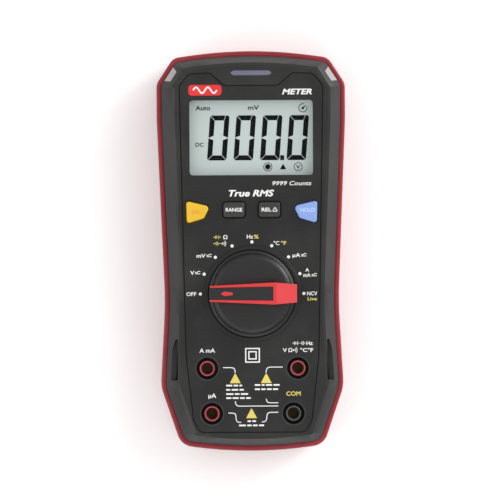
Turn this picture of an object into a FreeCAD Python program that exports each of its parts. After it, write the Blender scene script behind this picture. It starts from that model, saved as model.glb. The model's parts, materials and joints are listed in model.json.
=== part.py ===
"""Handheld digital multimeter, lying on its back.

Millimetres.  +Z comes out of the front face, +Y runs towards the display end and +X is to the
right of someone who reads the display.  The origin is the middle of the resting face.
Each function below builds one sub-part (or one group of identical ones) where it sits.
"""
import FreeCAD, Part
import math
import os
from FreeCAD import Vector

# ---- overall size -------------------------------------------------------------------------
BODY_LENGTH = 189.0
BODY_WIDTH = 89.2

# ---- heights above the resting face -------------------------------------------------------
FOOT_PROUD = 0.8          # the feet stand this far out of the back
CASE_FLOOR = 2.4          # wall of the back
LEDGE_Z = 29.0            # where the front cover sits in the rear case
RIM_TOP_Z = 35.0          # top of the rim that shows round the front cover
BAND_START_Z = 37.0       # the front cover's sloping band starts here
CREST_Z = 45.0            # crest of the band
FACE_Z = 44.2             # level of the face inside the crest
COVER_WALL = 3.2          # the front cover's thickness under the face
PCB_Z = 31.0              # underside of the circuit board
PCB_THICKNESS = 1.6

# ---- walls and edges, measured inwards from the outline -----------------------------------
CASE_WALL = 2.6
RIM_WIDTH = 2.3
LEDGE_WIDTH = 1.8
SKIRT_WALL = 1.9
CREST_INSET = 7.2
CREST_INSET_END = 5.8
CREST_LAND = 1.3          # the crest falls to the face over this width
BACK_EDGE_RADIUS = 4.5
ASSEMBLY_GAP = 0.1        # between pieces that are put together and stay
MOVING_GAP = 0.4          # between pieces that move past each other

# ---- outline corners: distance in from the side, distance from the end, radius ------------
END_CROWN_RADIUS = 200.0
END_CROWN_SLOPE = math.radians(7.6)
TOP_CORNER = (8.0, 3.0, 6.0)
TOP_SIDE = (0.0, 15.4, 6.0)
UPPER_SIDE = (0.0, 32.0, 120.0)
WAIST = (3.6, 70.5, 200.0)
SHOULDER = (1.4, 30.5, 18.0)
BOTTOM_CORNER = (10.9, 3.0, 8.0)

# ---- face panel ---------------------------------------------------------------------------
PANEL_THICKNESS = 1.0
PANEL_GROOVE = 0.55
PANEL_TOP = [(11.0, 16.9, 2.5), (15.5, 11.3, 2.5), (25.1, 11.0, 2.0), (31.9, 16.9, 1.5)]
PANEL_BOTTOM = [(19.9, 9.2, 3.0), (17.0, 14.5, 4.0), (13.6, 44.5, 40.0)]
PANEL_RING_WIDTH = 2.2
PANEL_RING_HEIGHT = 0.5

# ---- display ------------------------------------------------------------------------------
WINDOW_WIDTH = 58.0
WINDOW_HEIGHT = 35.2
WINDOW_FROM_TOP = 41.2
WINDOW_RADIUS = 1.5
WINDOW_FLANGE = 1.4
WINDOW_FLANGE_THICKNESS = 1.0
LCD_THICKNESS = 2.2
LCD_GAP = 0.2
LCD_FRAME_WALL = 1.2
BACKLIGHT_THICKNESS = 2.4
ZEBRA_WIDTH = 1.8

# ---- keys ---------------------------------------------------------------------------------
KEYS_FROM_TOP = 75.2
KEY_WIDTH = 10.0
KEY_HEIGHT = 7.0
KEY_SPACING = 16.7
KEY_RADIUS = 1.2
KEY_GAP = 0.6
KEY_PROUD = 1.5
KEY_TRAVEL = 0.9
KEY_FLANGE = 1.0
KEY_FLANGE_THICKNESS = 1.2
KEY_EDGE_RADIUS = 0.6
CORNER_KEY = [(30.6, -6.45, 1.1), (30.9, 4.2, 1.1), (19.7, 1.55, 1.7), (22.5, -4.0, 1.9)]
MAT_THICKNESS = 1.0
MAT_DOME_RADIUS = 2.6

# ---- selector knob ------------------------------------------------------------------------
KNOB_FROM_BOTTOM = 74.2
KNOB_RADIUS = 19.2
KNOB_SKIRT_RADIUS = 20.2
KNOB_SKIRT_HEIGHT = 1.2
KNOB_HEIGHT = 5.0
KNOB_EDGE_RADIUS = 3.0
KNOB_LIFT = 0.4
BAR_HEIGHT = 4.2
BAR_SINK = 1.6
BAR_POINT_X = -20.1
BAR_WIDE_X = 10.4
BAR_TAIL_X = 21.0
BAR_POINT_HALF = 3.7
BAR_WIDE_HALF = 5.2
BAR_TAIL_HALF = 4.3
BAR_TAIL_DROP = 2.6
BAR_EDGE_RADIUS = 0.5
INSERT_POINT_HALF = 2.8
INSERT_WIDE_HALF = 3.3
INSERT_DEPTH = 1.8
INSERT_SUNK = 0.3
MARK_FROM_POINT = 5.2
MARK_LENGTH = 5.6
MARK_WIDTH = 2.1
MARK_HEIGHT = 0.5
HUB_RADIUS = 7.0
ROTOR_RADIUS = 16.5
ROTOR_THICKNESS = 2.4
ROTOR_GAP = 2.0           # between the board and the rotor, where the wipers sit
ROTOR_HUB_RADIUS = 3.0
WIPER_COUNT = 6
DETENT_RADIUS = 13.0
DETENT_BALL_RADIUS = 1.4
DETENT_RING_THICKNESS = 2.6

# ---- jacks --------------------------------------------------------------------------------
UPPER_JACK = (21.35, 39.1)
LOWER_JACK = (19.2, 17.8)
JACK_OUTER_RADIUS = 5.9
JACK_RECESS_RADIUS = 5.1
JACK_POST_RADIUS = 3.6
JACK_MOUTH_RADIUS = 2.9   # the post's hole flares to this from the socket's bore
JACK_TIP_RADIUS = 0.3
JACK_FLOOR = 1.0
JACK_POST_SUNK = 0.6
SOCKET_BORE_RADIUS = 2.05
SOCKET_WALL = 0.6
SOCKET_DEPTH = 18.0
SOCKET_END = 1.0
SOCKET_TIP = 1.2
SOCKET_FLANGE_RADIUS = 4.4
SOCKET_FLANGE_THICKNESS = 0.8

# ---- lights at the display end ------------------------------------------------------------
LIGHT_BAR_LENGTH = 19.8
LIGHT_BAR_WIDTH = 2.2
LIGHT_BAR_FROM_TOP = 10.7
LIGHT_BAR_POINT = 1.6
LIGHT_BAR_FLANGE = 1.0
CORNER_WINDOW_START = 2.2     # along the cut corner, from its end nearest the top
CORNER_WINDOW_LENGTH = 8.6
CORNER_WINDOW_WIDTH = 2.6
CORNER_WINDOW_SLANT = 1.6
CORNER_WINDOW_FLOOR_Z = 36.5
LED_SIZE = 3.0
LED_HEIGHT = 1.6

# ---- grip facets on the lower sides -------------------------------------------------------
FACET_TOP = (9.5, 56.5)
FACET_INNER = (9.3, 33.5)
FACET_OUTER = (2.6, 33.5)
FACET_FLOOR_Z = 40.4
GRIP_COUNT = 9
GRIP_PITCH = 4.2
GRIP_WIDTH = 1.5
GRIP_DEPTH = 0.8
GRIP_LOW_Z = 9.0
GRIP_HIGH_Z = 27.0

# ---- tilt stand ---------------------------------------------------------------------------
STAND_HINGE_FROM_TOP = 58.5
STAND_WIDTH = 54.0
STAND_LENGTH = 80.0
STAND_THICKNESS = 2.4
STAND_SUNK = 0.2
STAND_CORNER = 6.0
STAND_GROOVES = 5
STAND_GROOVE_PITCH = 4.5
STAND_GROOVE_WIDTH = 1.8
STAND_GROOVE_LENGTH = 34.0
STAND_GROOVE_DEPTH = 0.7
STAND_BARREL_RADIUS = 1.9
STAND_SIDE_GAP = 0.4
PIN_RADIUS = 1.0
PIN_FIT = 0.05
PIN_ENGAGEMENT = 3.0
BACK_BLOCK_Z = 7.2        # inside level of the thickened back round the stand's recess
BACK_BLOCK_WALL = 3.6
FINGER_NOTCH_RADIUS = 7.0

# ---- batteries ----------------------------------------------------------------------------
CELL_RADIUS = 7.2
CELL_LENGTH = 49.2
CELL_NIPPLE_RADIUS = 2.7
CELL_NIPPLE_LENGTH = 1.3
CELL_GAP = 0.5
TRAY_WALL = 1.5
TRAY_LENGTH = 59.0
DOOR_END = 6.4            # the door reaches this far past the tray's inside, for its screws
DOOR_LAP = 1.2
DOOR_THICKNESS = 2.0
DOOR_BEHIND_HINGE = 41.5  # from the hinge to the middle of the battery tray
SPRING_STRIP = 0.4
SPRING_WIDTH = 8.0
SPRING_HEIGHT = 8.0
CONTACT_THICKNESS = 0.4

# ---- fasteners and feet -------------------------------------------------------------------
SCREW_RADIUS = 1.4
SCREW_HEAD_RADIUS = 2.7
SCREW_HEAD_HEIGHT = 1.8
DOOR_SCREW_HEAD_HEIGHT = 1.2
SCREW_CLEARANCE = 0.1
SCREW_SEAT_Z = 22.0
SCREW_TOP_Z = 38.5
BOSS_WALL = 2.1
TOP_SCREW = (8.4, 24.5)
BOTTOM_SCREW = (16.3, 10.7)
DOOR_SCREW_LENGTH = 6.0
CROSS_RECESS = (2.6, 0.7, 0.9)
FOOT_RADIUS = 4.0
FOOT_SEAT = 1.0
TOP_FOOT = (17.0, 13.0)
BOTTOM_FOOT = (27.0, 12.0)

# ---- parts on the circuit board -----------------------------------------------------------
FUSE_RADIUS = 3.1
FUSE_LENGTH = 32.0
FUSE_CAP_LENGTH = 6.0
FUSE_X = 28.0
FUSE_Y = 4.0
FUSE_DROP = 4.6
CHIP_SIZE = 14.0
CHIP_HEIGHT = 1.8
BUZZER_RADIUS = 7.0
BUZZER_HEIGHT = 5.0
DISC_RADIUS = 4.5
DISC_THICKNESS = 3.0

# ---- values that follow from the sizes above ----------------------------------------------
TOP = BODY_LENGTH / 2
BOTTOM = -BODY_LENGTH / 2
SIDE = BODY_WIDTH / 2
BACK_Z = FOOT_PROUD
FLOOR_Z = BACK_Z + CASE_FLOOR
CEILING_Z = FACE_Z - COVER_WALL
PCB_TOP_Z = PCB_Z + PCB_THICKNESS
LEDGE_INSET = RIM_WIDTH + LEDGE_WIDTH
COVER_INSET = RIM_WIDTH + ASSEMBLY_GAP
SKIRT_INSET = COVER_INSET + SKIRT_WALL
PCB_INSET = SKIRT_INSET + 0.5
WINDOW_Y = TOP - WINDOW_FROM_TOP
KEYS_Y = TOP - KEYS_FROM_TOP
KNOB = Vector(0, BOTTOM + KNOB_FROM_BOTTOM, 0)
LIGHT_BAR_Y = TOP - LIGHT_BAR_FROM_TOP
WINDOW_FLANGE_Z = CEILING_Z - WINDOW_FLANGE_THICKNESS
LCD_TOP_Z = WINDOW_FLANGE_Z - LCD_GAP
LCD_BOTTOM_Z = LCD_TOP_Z - LCD_THICKNESS
ROTOR_Z = PCB_TOP_Z + ROTOR_GAP
ROTOR_TOP_Z = ROTOR_Z + ROTOR_THICKNESS
KNOB_Z = FACE_Z + KNOB_LIFT
KNOB_TOP_Z = KNOB_Z + KNOB_HEIGHT
BAR_TOP_Z = KNOB_TOP_Z + BAR_HEIGHT
HUB_HOLE_RADIUS = HUB_RADIUS + MOVING_GAP
RING_INNER_RADIUS = KNOB_SKIRT_RADIUS + MOVING_GAP
KEY_TOP_Z = FACE_Z + KEY_PROUD
KEY_FLANGE_Z = CEILING_Z - MOVING_GAP - KEY_FLANGE_THICKNESS
MAT_DOME_Z = KEY_FLANGE_Z - KEY_TRAVEL - MOVING_GAP
STAND_Z = BACK_Z + STAND_SUNK
RECESS_Z = STAND_Z + STAND_THICKNESS + 0.3
HINGE = Vector(0, TOP - STAND_HINGE_FROM_TOP, STAND_Z + STAND_BARREL_RADIUS)
STAND_END_Y = HINGE.y - STAND_LENGTH
TRAY_HALF_WIDTH = 2 * CELL_RADIUS + 1.5 * CELL_GAP
TRAY_Y = HINGE.y - DOOR_BEHIND_HINGE
DOOR_TOP_Z = RECESS_Z + DOOR_THICKNESS
DOOR_SEAT_Z = RECESS_Z + DOOR_SCREW_HEAD_HEIGHT
CELL_Z = DOOR_TOP_Z + CELL_GAP + CELL_RADIUS
TRAY_TOP_Z = CELL_Z + CELL_RADIUS + CELL_GAP
CELL_END_Y = TRAY_Y + TRAY_LENGTH / 2 - CONTACT_THICKNESS - CELL_NIPPLE_LENGTH
JACK_BOTTOM_Z = PCB_TOP_Z + 0.4
POST_TOP_Z = FACE_Z - JACK_POST_SUNK
SOCKET_TOP_Z = POST_TOP_Z - SOCKET_TIP
SCREW_HOLE = SCREW_RADIUS + SCREW_CLEARANCE
HEAD_HOLE = SCREW_HEAD_RADIUS + 0.3
BOSS_RADIUS = HEAD_HOLE + 0.6

JACKS = {
    "amps": (-UPPER_JACK[0], BOTTOM + UPPER_JACK[1]),
    "volts": (UPPER_JACK[0], BOTTOM + UPPER_JACK[1]),
    "microamps": (-LOWER_JACK[0], BOTTOM + LOWER_JACK[1]),
    "common": (LOWER_JACK[0], BOTTOM + LOWER_JACK[1]),
}
CASE_SCREWS = [(s * (SIDE - TOP_SCREW[0]), TOP - TOP_SCREW[1]) for s in (-1, 1)]
CASE_SCREWS += [(s * (SIDE - BOTTOM_SCREW[0]), BOTTOM + BOTTOM_SCREW[1]) for s in (-1, 1)]
FEET = [(s * (SIDE - TOP_FOOT[0]), TOP - TOP_FOOT[1]) for s in (-1, 1)]
FEET += [(s * (SIDE - BOTTOM_FOOT[0]), BOTTOM + BOTTOM_FOOT[1]) for s in (-1, 1)]
DOOR_SCREWS = [(0, TRAY_Y + s * (TRAY_LENGTH + DOOR_END) / 2) for s in (-1, 1)]


# ---- plain shape helpers ------------------------------------------------------------------

def rounded_wire(corners, z):
    """Closed wire at height z through corners (x, y, radius): sides joined by tangent arcs."""
    arcs = []
    for i, (x, y, radius) in enumerate(corners):
        here = Vector(x, y, z)
        back = (Vector(*corners[i - 1][:2], z) - here).normalize()
        ahead = (Vector(*corners[(i + 1) % len(corners)][:2], z) - here).normalize()
        half_angle = back.getAngle(ahead) / 2
        reach = radius / math.tan(half_angle)
        inward = (back + ahead).normalize()
        centre = here + inward * (radius / math.sin(half_angle))
        arcs.append((here + back * reach, centre - inward * radius, here + ahead * reach))
    edges = []
    for i, (start, middle, end) in enumerate(arcs):
        edges.append(Part.Arc(start, middle, end).toShape())
        edges.append(Part.LineSegment(end, arcs[(i + 1) % len(arcs)][0]).toShape())
    return Part.Wire(edges)


def prism(corners, z_low, z_high):
    """Upright solid over a rounded polygon."""
    face = Part.Face(rounded_wire(corners, z_low))
    return face.extrude(Vector(0, 0, z_high - z_low))


def sloped(corners_low, z_low, corners_high, z_high):
    """Solid with straight sloping sides between two rounded polygons of equal corners."""
    wires = [rounded_wire(corners_low, z_low), rounded_wire(corners_high, z_high)]
    return Part.makeLoft(wires, True, True)


def both_sides(right_corners):
    """Corners of a shape that is alike left and right, from those on its right, going up."""
    left = [(-x, y, radius) for x, y, radius in reversed(right_corners)]
    return list(right_corners) + left


def mirrored(corners):
    """The same outline on the other side of the middle plane."""
    return [(-x, y, radius) for x, y, radius in reversed(corners)]


def inset(corners, distances):
    """Corners moved inwards; side i runs from corner i to the next and moves distances[i]."""
    count = len(corners)
    lines = []
    for i in range(count):
        start = Vector(corners[i][0], corners[i][1], 0)
        along = (Vector(*corners[(i + 1) % count][:2], 0) - start).normalize()
        lines.append((start + Vector(-along.y, along.x, 0) * distances[i], along))
    moved = []
    for i in range(count):
        before, u = lines[i - 1]
        after, v = lines[i]
        turn = u.x * v.y - u.y * v.x
        gap = after - before
        corner = before + u * ((gap.x * v.y - gap.y * v.x) / turn)
        shift = (distances[i - 1] + distances[i]) / 2
        radius = max(corners[i][2] - shift, 1.2) if turn > 0 else corners[i][2] + shift
        moved.append((corner.x, corner.y, radius))
    return moved


def crown_corner(end):
    """The corner whose large radius makes the slightly bowed end, tangent at the end's middle."""
    rise = END_CROWN_RADIUS * (1 / math.cos(END_CROWN_SLOPE) - 1)
    return (0.0, end + math.copysign(rise, end), END_CROWN_RADIUS)


def crown_point(corner, end):
    """A corner on the bowed end's straight flank, at a given distance in from the side."""
    x = SIDE - corner[0]
    y = crown_corner(end)[1] - math.copysign(x * math.tan(END_CROWN_SLOPE), end)
    return (x, y, corner[2])


def outline(side=0.0, end=None):
    """The body's outline, moved in by side along the flanks and by end at the two ends."""
    end = side if end is None else end
    right = [crown_point(BOTTOM_CORNER, BOTTOM)]
    right += [(SIDE - x, BOTTOM + y, radius) for x, y, radius in (SHOULDER, WAIST)]
    right += [(SIDE - x, TOP - y, radius) for x, y, radius in (UPPER_SIDE, TOP_SIDE)]
    right.append(crown_point(TOP_CORNER, TOP))
    flanks = len(right) - 1
    corners = right + [crown_corner(TOP)]
    corners += [(-x, y, radius) for x, y, radius in reversed(right)] + [crown_corner(BOTTOM)]
    distances = [side] * flanks + [end] * 2 + [side] * flanks + [end] * 2
    return inset(corners, distances)


def rectangle(width, height, x=0.0, y=0.0, radius=0.5):
    """Corners of an upright rectangle about (x, y)."""
    w, h = width / 2, height / 2
    return [(x - w, y - h, radius), (x + w, y - h, radius),
            (x + w, y + h, radius), (x - w, y + h, radius)]


def cylinder(radius, z_low, z_high, x=0.0, y=0.0):
    """Upright cylinder."""
    return Part.makeCylinder(radius, z_high - z_low, Vector(x, y, z_low))


def tube(outer, inner, z_low, z_high, x=0.0, y=0.0):
    """Upright tube."""
    return cylinder(outer, z_low, z_high, x, y).cut(cylinder(inner, z_low, z_high, x, y))


def block(x_low, x_high, y_low, y_high, z_low, z_high):
    """Box between two corners."""
    return Part.makeBox(x_high - x_low, y_high - y_low, z_high - z_low, Vector(x_low, y_low, z_low))


def save(shape, node):
    """Write one node: a single solid, or a group of separate ones."""
    shape = shape.removeSplitter()
    if not shape.isValid() or not shape.Solids:
        raise ValueError(node + " is not a valid solid")
    if len(shape.Solids) == 1:
        shape = shape.Solids[0]
    shape.exportStep("parts/" + node + ".step")


def group(shapes):
    """Separate solids kept together in one node."""
    return Part.makeCompound(shapes)


# ---- outlines that several pieces share ---------------------------------------------------

def panel_outline(grow=0.0):
    """Face panel: long sides that lean in, a dip under the light bar, cut top corners."""
    right = [(SIDE - x, BOTTOM + y, radius) for x, y, radius in PANEL_BOTTOM]
    right += [(SIDE - x, TOP - y, radius) for x, y, radius in PANEL_TOP]
    corners = both_sides(right)
    return inset(corners, [-grow] * len(corners))


def corner_key_outline(side, grow=0.0):
    """Outer keys: four-sided, wide at the edge of the face. side is 1 on the right, -1 left."""
    corners = [(x, KEYS_Y + y, radius) for x, y, radius in CORNER_KEY]
    corners = inset(corners, [-grow] * len(corners))
    return corners if side > 0 else mirrored(corners)


def key_outlines(grow=0.0):
    """Name and outline of each of the four keys."""
    middle = {}
    for name, side in (("range", -1), ("relative", 1)):
        middle[name] = rectangle(KEY_WIDTH + 2 * grow, KEY_HEIGHT + 2 * grow,
                                 side * KEY_SPACING / 2, KEYS_Y, KEY_RADIUS + grow)
    return {"select": corner_key_outline(-1, grow), **middle, "hold": corner_key_outline(1, grow)}


def light_bar_outline(grow=0.0):
    """Long lozenge: a bar with pointed ends."""
    half, w = LIGHT_BAR_LENGTH / 2 + grow, LIGHT_BAR_WIDTH / 2 + grow
    right = [(half - LIGHT_BAR_POINT, LIGHT_BAR_Y - w, 0.4), (half, LIGHT_BAR_Y, 0.4),
             (half - LIGHT_BAR_POINT, LIGHT_BAR_Y + w, 0.4)]
    return both_sides(right)


def corner_window_outline(side):
    """Slanted window that follows the cut corner, just inside the rim."""
    lower = Vector(*outline(COVER_INSET)[4][:2], 0)
    upper = Vector(*outline(COVER_INSET)[5][:2], 0)
    along = (lower - upper).normalize()
    inward = Vector(-abs(along.y), -abs(along.x), 0)
    start = upper + along * CORNER_WINDOW_START
    end = start + along * CORNER_WINDOW_LENGTH
    across = inward * CORNER_WINDOW_WIDTH
    proud = inward * -1.0
    slant = along * CORNER_WINDOW_SLANT
    points = [end + proud, start + proud, start + across + slant, end + across - slant]
    corners = [(p.x, p.y, 0.3) for p in points]
    return corners if side > 0 else mirrored(corners)


def screw(x, y, seat_z, length, head_height):
    """Pan-head screw driven upwards: head below its seat, cross recess in the head."""
    head_z = seat_z - head_height
    body = cylinder(SCREW_HEAD_RADIUS, head_z, seat_z, x, y)
    body = body.fuse(cylinder(SCREW_RADIUS, seat_z, seat_z + length, x, y))
    reach, width, depth = CROSS_RECESS
    for long_x, long_y in ((reach, width), (width, reach)):
        slot = block(x - long_x / 2, x + long_x / 2, y - long_y / 2, y + long_y / 2,
                     head_z, head_z + depth)
        body = body.cut(slot)
    return body


# ---- casing -------------------------------------------------------------------------------

def build_rear_case():
    """Red rear case: open tray with a rim round the front cover, ledge, tray for the cells,
    recess and bearings for the stand, screw bosses, seats for the feet and side grips."""
    shell = prism(outline(), BACK_Z, RIM_TOP_Z)
    back_edges = [e for e in shell.Edges
                  if abs(e.BoundBox.ZMax - BACK_Z) < 1e-6]
    shell = shell.makeFillet(BACK_EDGE_RADIUS, back_edges)
    rim_edges = [e for e in shell.Edges if abs(e.BoundBox.ZMin - RIM_TOP_Z) < 1e-6]
    shell = shell.makeFillet(RIM_WIDTH / 3, rim_edges)
    shell = shell.cut([prism(outline(CASE_WALL), FLOOR_Z, LEDGE_Z - 2),
                       prism(outline(LEDGE_INSET), FLOOR_Z, LEDGE_Z),
                       prism(outline(RIM_WIDTH), LEDGE_Z, RIM_TOP_Z)])

    half_recess = STAND_WIDTH / 2 + STAND_SIDE_GAP
    half_block = half_recess + BACK_BLOCK_WALL
    recess_end = HINGE.y + STAND_BARREL_RADIUS + STAND_SIDE_GAP
    added = [block(-half_block, half_block, STAND_END_Y - FINGER_NOTCH_RADIUS - BACK_BLOCK_WALL,
                   recess_end + BACK_BLOCK_WALL, BACK_Z + 1, BACK_BLOCK_Z)]
    tray = TRAY_HALF_WIDTH + TRAY_WALL
    added.append(block(-tray, tray, TRAY_Y - TRAY_LENGTH / 2 - TRAY_WALL,
                       TRAY_Y + TRAY_LENGTH / 2 + TRAY_WALL, RECESS_Z, TRAY_TOP_Z + TRAY_WALL))
    for x, y in CASE_SCREWS:
        added.append(cylinder(BOSS_RADIUS, BACK_Z + 1, LEDGE_Z, x, y))
    for x, y in DOOR_SCREWS:
        added.append(cylinder(SCREW_RADIUS + BOSS_WALL, RECESS_Z,
                              DOOR_SEAT_Z + DOOR_SCREW_LENGTH + 2, x, y))
    shell = shell.fuse(added)

    removed = [prism(stand_outline(recess_end - STAND_SIDE_GAP, STAND_SIDE_GAP),
                     BACK_Z - 1, RECESS_Z)]
    groove = STAND_BARREL_RADIUS + STAND_SIDE_GAP
    removed.append(Part.makeCylinder(groove, 2 * half_recess,
                                     Vector(-half_recess, HINGE.y, HINGE.z), Vector(1, 0, 0)))
    removed.append(block(-half_recess, half_recess, HINGE.y - groove, recess_end,
                         BACK_Z - 1, HINGE.z))
    pin_half = half_recess + PIN_ENGAGEMENT
    removed.append(Part.makeCylinder(PIN_RADIUS + PIN_FIT, 2 * pin_half,
                                     Vector(-pin_half, HINGE.y, HINGE.z), Vector(1, 0, 0)))
    removed.append(cylinder(FINGER_NOTCH_RADIUS, BACK_Z - 1, RECESS_Z, 0, STAND_END_Y))
    removed.append(prism(door_outline(ASSEMBLY_GAP), RECESS_Z - 1, DOOR_TOP_Z))
    removed.append(block(-TRAY_HALF_WIDTH, TRAY_HALF_WIDTH, TRAY_Y - TRAY_LENGTH / 2,
                         TRAY_Y + TRAY_LENGTH / 2, DOOR_TOP_Z - 1, TRAY_TOP_Z))
    for x, y in CASE_SCREWS:
        removed.append(cylinder(SCREW_HOLE, BACK_Z - 1, LEDGE_Z + 1, x, y))
        removed.append(cylinder(HEAD_HOLE, BACK_Z - 1, SCREW_SEAT_Z, x, y))
    for x, y in DOOR_SCREWS:
        removed.append(cylinder(SCREW_HOLE, RECESS_Z, DOOR_SEAT_Z + DOOR_SCREW_LENGTH + 0.5, x, y))
    for x, y in FEET:
        removed.append(cylinder(FOOT_RADIUS, BACK_Z - 1, BACK_Z + FOOT_SEAT, x, y))
    for side in (-1, 1):
        removed.extend(grip_grooves(side))
    return shell.cut(removed)


def grip_grooves(side):
    """Upright finger grooves in one side wall, each cut square to the waist's slight lean."""
    grooves = []
    right = outline()
    waist_x, waist_y = right[2][0], right[2][1]
    upper_x, upper_y = right[3][0], right[3][1]
    for i in range(GRIP_COUNT):
        y = waist_y + GRIP_PITCH * (i + 2)
        x = waist_x + (upper_x - waist_x) * (y - waist_y) / (upper_y - waist_y)
        bar = cylinder(GRIP_WIDTH, GRIP_LOW_Z, GRIP_HIGH_Z, side * (x + GRIP_WIDTH - GRIP_DEPTH), y)
        grooves.append(bar)
    return grooves


def cover_envelope(z_low):
    """Outside of the front cover: upright skirt, sloping band, crest and dished face."""
    face = outline(CREST_INSET + CREST_LAND, CREST_INSET_END + CREST_LAND)
    crest = outline(CREST_INSET, CREST_INSET_END)
    solid = prism(outline(COVER_INSET), z_low, BAND_START_Z)
    solid = solid.fuse(sloped(outline(COVER_INSET), BAND_START_Z, crest, CREST_Z))
    return solid.cut(sloped(face, FACE_Z, crest, CREST_Z))


def build_front_cover():
    """Black front cover: skirt inside the rim, sloping band, crest and recessed face."""
    envelope = cover_envelope(LEDGE_Z)
    inner_low = outline(SKIRT_INSET)
    inner_high = outline(CREST_INSET + 0.2)
    removed = [prism(inner_low, LEDGE_Z, BAND_START_Z - 1),
               sloped(inner_low, BAND_START_Z - 1, inner_high, CEILING_Z),
               prism(panel_outline(PANEL_GROOVE), FACE_Z - PANEL_THICKNESS, CREST_Z)]
    cover = envelope.cut(removed)
    posts = [cylinder(SCREW_RADIUS + BOSS_WALL, LEDGE_Z, CEILING_Z + 1, x, y).common(envelope)
             for x, y in CASE_SCREWS]
    cover = cover.fuse(posts)
    removed = [prism(display_outline(ASSEMBLY_GAP), CEILING_Z - 1, CREST_Z),
               prism(light_bar_outline(), CEILING_Z - 1, CREST_Z),
               cylinder(HUB_HOLE_RADIUS, CEILING_Z - 1, CREST_Z, KNOB.x, KNOB.y)]
    removed += [prism(key, CEILING_Z - 1, CREST_Z)
                for key in key_outlines(KEY_GAP).values()]
    removed += [cylinder(JACK_OUTER_RADIUS, CEILING_Z - 1, CREST_Z, x, y)
                for x, y in JACKS.values()]
    removed += [cylinder(SCREW_HOLE, LEDGE_Z - 1, SCREW_TOP_Z + 0.5, x, y)
                for x, y in CASE_SCREWS]
    for side in (-1, 1):
        removed.append(grip_facet(side))
        removed.append(prism(corner_window_outline(side), CORNER_WINDOW_FLOOR_Z, CREST_Z + 1))
    return cover.cut(removed)


def grip_facet(side):
    """Three-cornered finger recess in the band, low on one side, widening downwards."""
    points = [FACET_INNER, FACET_OUTER, FACET_TOP]
    corners = [(SIDE - x, BOTTOM + y, 0.6) for x, y in points]
    corners = corners if side > 0 else mirrored(corners)
    return prism(corners, FACET_FLOOR_Z, CREST_Z + 1)


def build_corner_window(side):
    """Window in a cut corner: the piece of the cover that its pocket takes away."""
    pocket = prism(corner_window_outline(side), CORNER_WINDOW_FLOOR_Z, CREST_Z + 1)
    return cover_envelope(LEDGE_Z).common(pocket)


def build_face_panel():
    """Printed face panel, with openings and a raised ring round the knob."""
    low = FACE_Z - PANEL_THICKNESS
    panel = prism(panel_outline(), low, FACE_Z)
    ring = tube(RING_INNER_RADIUS + PANEL_RING_WIDTH, RING_INNER_RADIUS,
                FACE_Z, FACE_Z + PANEL_RING_HEIGHT, KNOB.x, KNOB.y)
    ring = ring.makeChamfer(PANEL_RING_HEIGHT * 0.6,
                            [e for e in ring.Edges
                             if abs(e.BoundBox.ZMin - FACE_Z - PANEL_RING_HEIGHT) < 1e-6
                             and e.BoundBox.ZLength < 1e-6])
    panel = panel.fuse(ring)
    removed = [prism(display_outline(ASSEMBLY_GAP), low, FACE_Z),
               cylinder(HUB_HOLE_RADIUS, low, FACE_Z, KNOB.x, KNOB.y)]
    removed += [prism(key, low, FACE_Z) for key in key_outlines(KEY_GAP).values()]
    removed += [cylinder(JACK_OUTER_RADIUS, low, FACE_Z, x, y) for x, y in JACKS.values()]
    return panel.cut(removed)


# ---- display ------------------------------------------------------------------------------

def display_outline(grow=0.0):
    """The window's outline."""
    return rectangle(WINDOW_WIDTH + 2 * grow, WINDOW_HEIGHT + 2 * grow, 0, WINDOW_Y,
                     WINDOW_RADIUS + grow)


def build_display_window():
    """Clear window: a block through cover and panel, on a flange under the cover."""
    lens = prism(display_outline(), CEILING_Z, FACE_Z)
    return lens.fuse(prism(display_outline(WINDOW_FLANGE), WINDOW_FLANGE_Z, CEILING_Z))


def build_lcd_panel():
    """Liquid crystal glass."""
    return prism(display_outline(WINDOW_FLANGE / 2), LCD_BOTTOM_Z, LCD_TOP_Z)


def build_lcd_frame():
    """Frame that stands on the board and holds the glass, the light guide and the strips."""
    inner = display_outline(WINDOW_FLANGE / 2 + ASSEMBLY_GAP)
    outer = display_outline(WINDOW_FLANGE / 2 + ASSEMBLY_GAP + LCD_FRAME_WALL)
    return prism(outer, PCB_TOP_Z, LCD_TOP_Z).cut(prism(inner, PCB_TOP_Z, LCD_TOP_Z))


def build_backlight():
    """Light guide behind the glass, between the two contact strips."""
    height = WINDOW_HEIGHT - 2 * ZEBRA_WIDTH - 1.0
    return prism(rectangle(WINDOW_WIDTH, height, 0, WINDOW_Y, WINDOW_RADIUS),
                 LCD_BOTTOM_Z - BACKLIGHT_THICKNESS, LCD_BOTTOM_Z)


def build_contact_strips():
    """Two elastomer strips that join the glass to the board."""
    middle = (WINDOW_HEIGHT - ZEBRA_WIDTH) / 2
    return group([block(-WINDOW_WIDTH / 2, WINDOW_WIDTH / 2,
                        WINDOW_Y + s * middle - ZEBRA_WIDTH / 2,
                        WINDOW_Y + s * middle + ZEBRA_WIDTH / 2,
                        PCB_TOP_Z, LCD_BOTTOM_Z) for s in (-1, 1)])


# ---- board and what it carries ------------------------------------------------------------

def build_circuit_board():
    """Circuit board, with clearance round the screw posts and the jack sockets."""
    board = prism(outline(PCB_INSET), PCB_Z, PCB_TOP_Z)
    removed = [cylinder(SCREW_RADIUS + BOSS_WALL + 0.3, PCB_Z, PCB_TOP_Z, x, y)
               for x, y in CASE_SCREWS]
    socket = SOCKET_BORE_RADIUS + SOCKET_WALL
    removed += [cylinder(socket + 0.05, PCB_Z, PCB_TOP_Z, x, y) for x, y in JACKS.values()]
    removed.append(cylinder(ROTOR_HUB_RADIUS + MOVING_GAP, PCB_Z, PCB_TOP_Z, KNOB.x, KNOB.y))
    return board.cut(removed)


def fuse_places():
    """Middle of each of the two fuses."""
    return [Vector(s * FUSE_X, FUSE_Y, PCB_Z - FUSE_DROP) for s in (-1, 1)]


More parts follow.
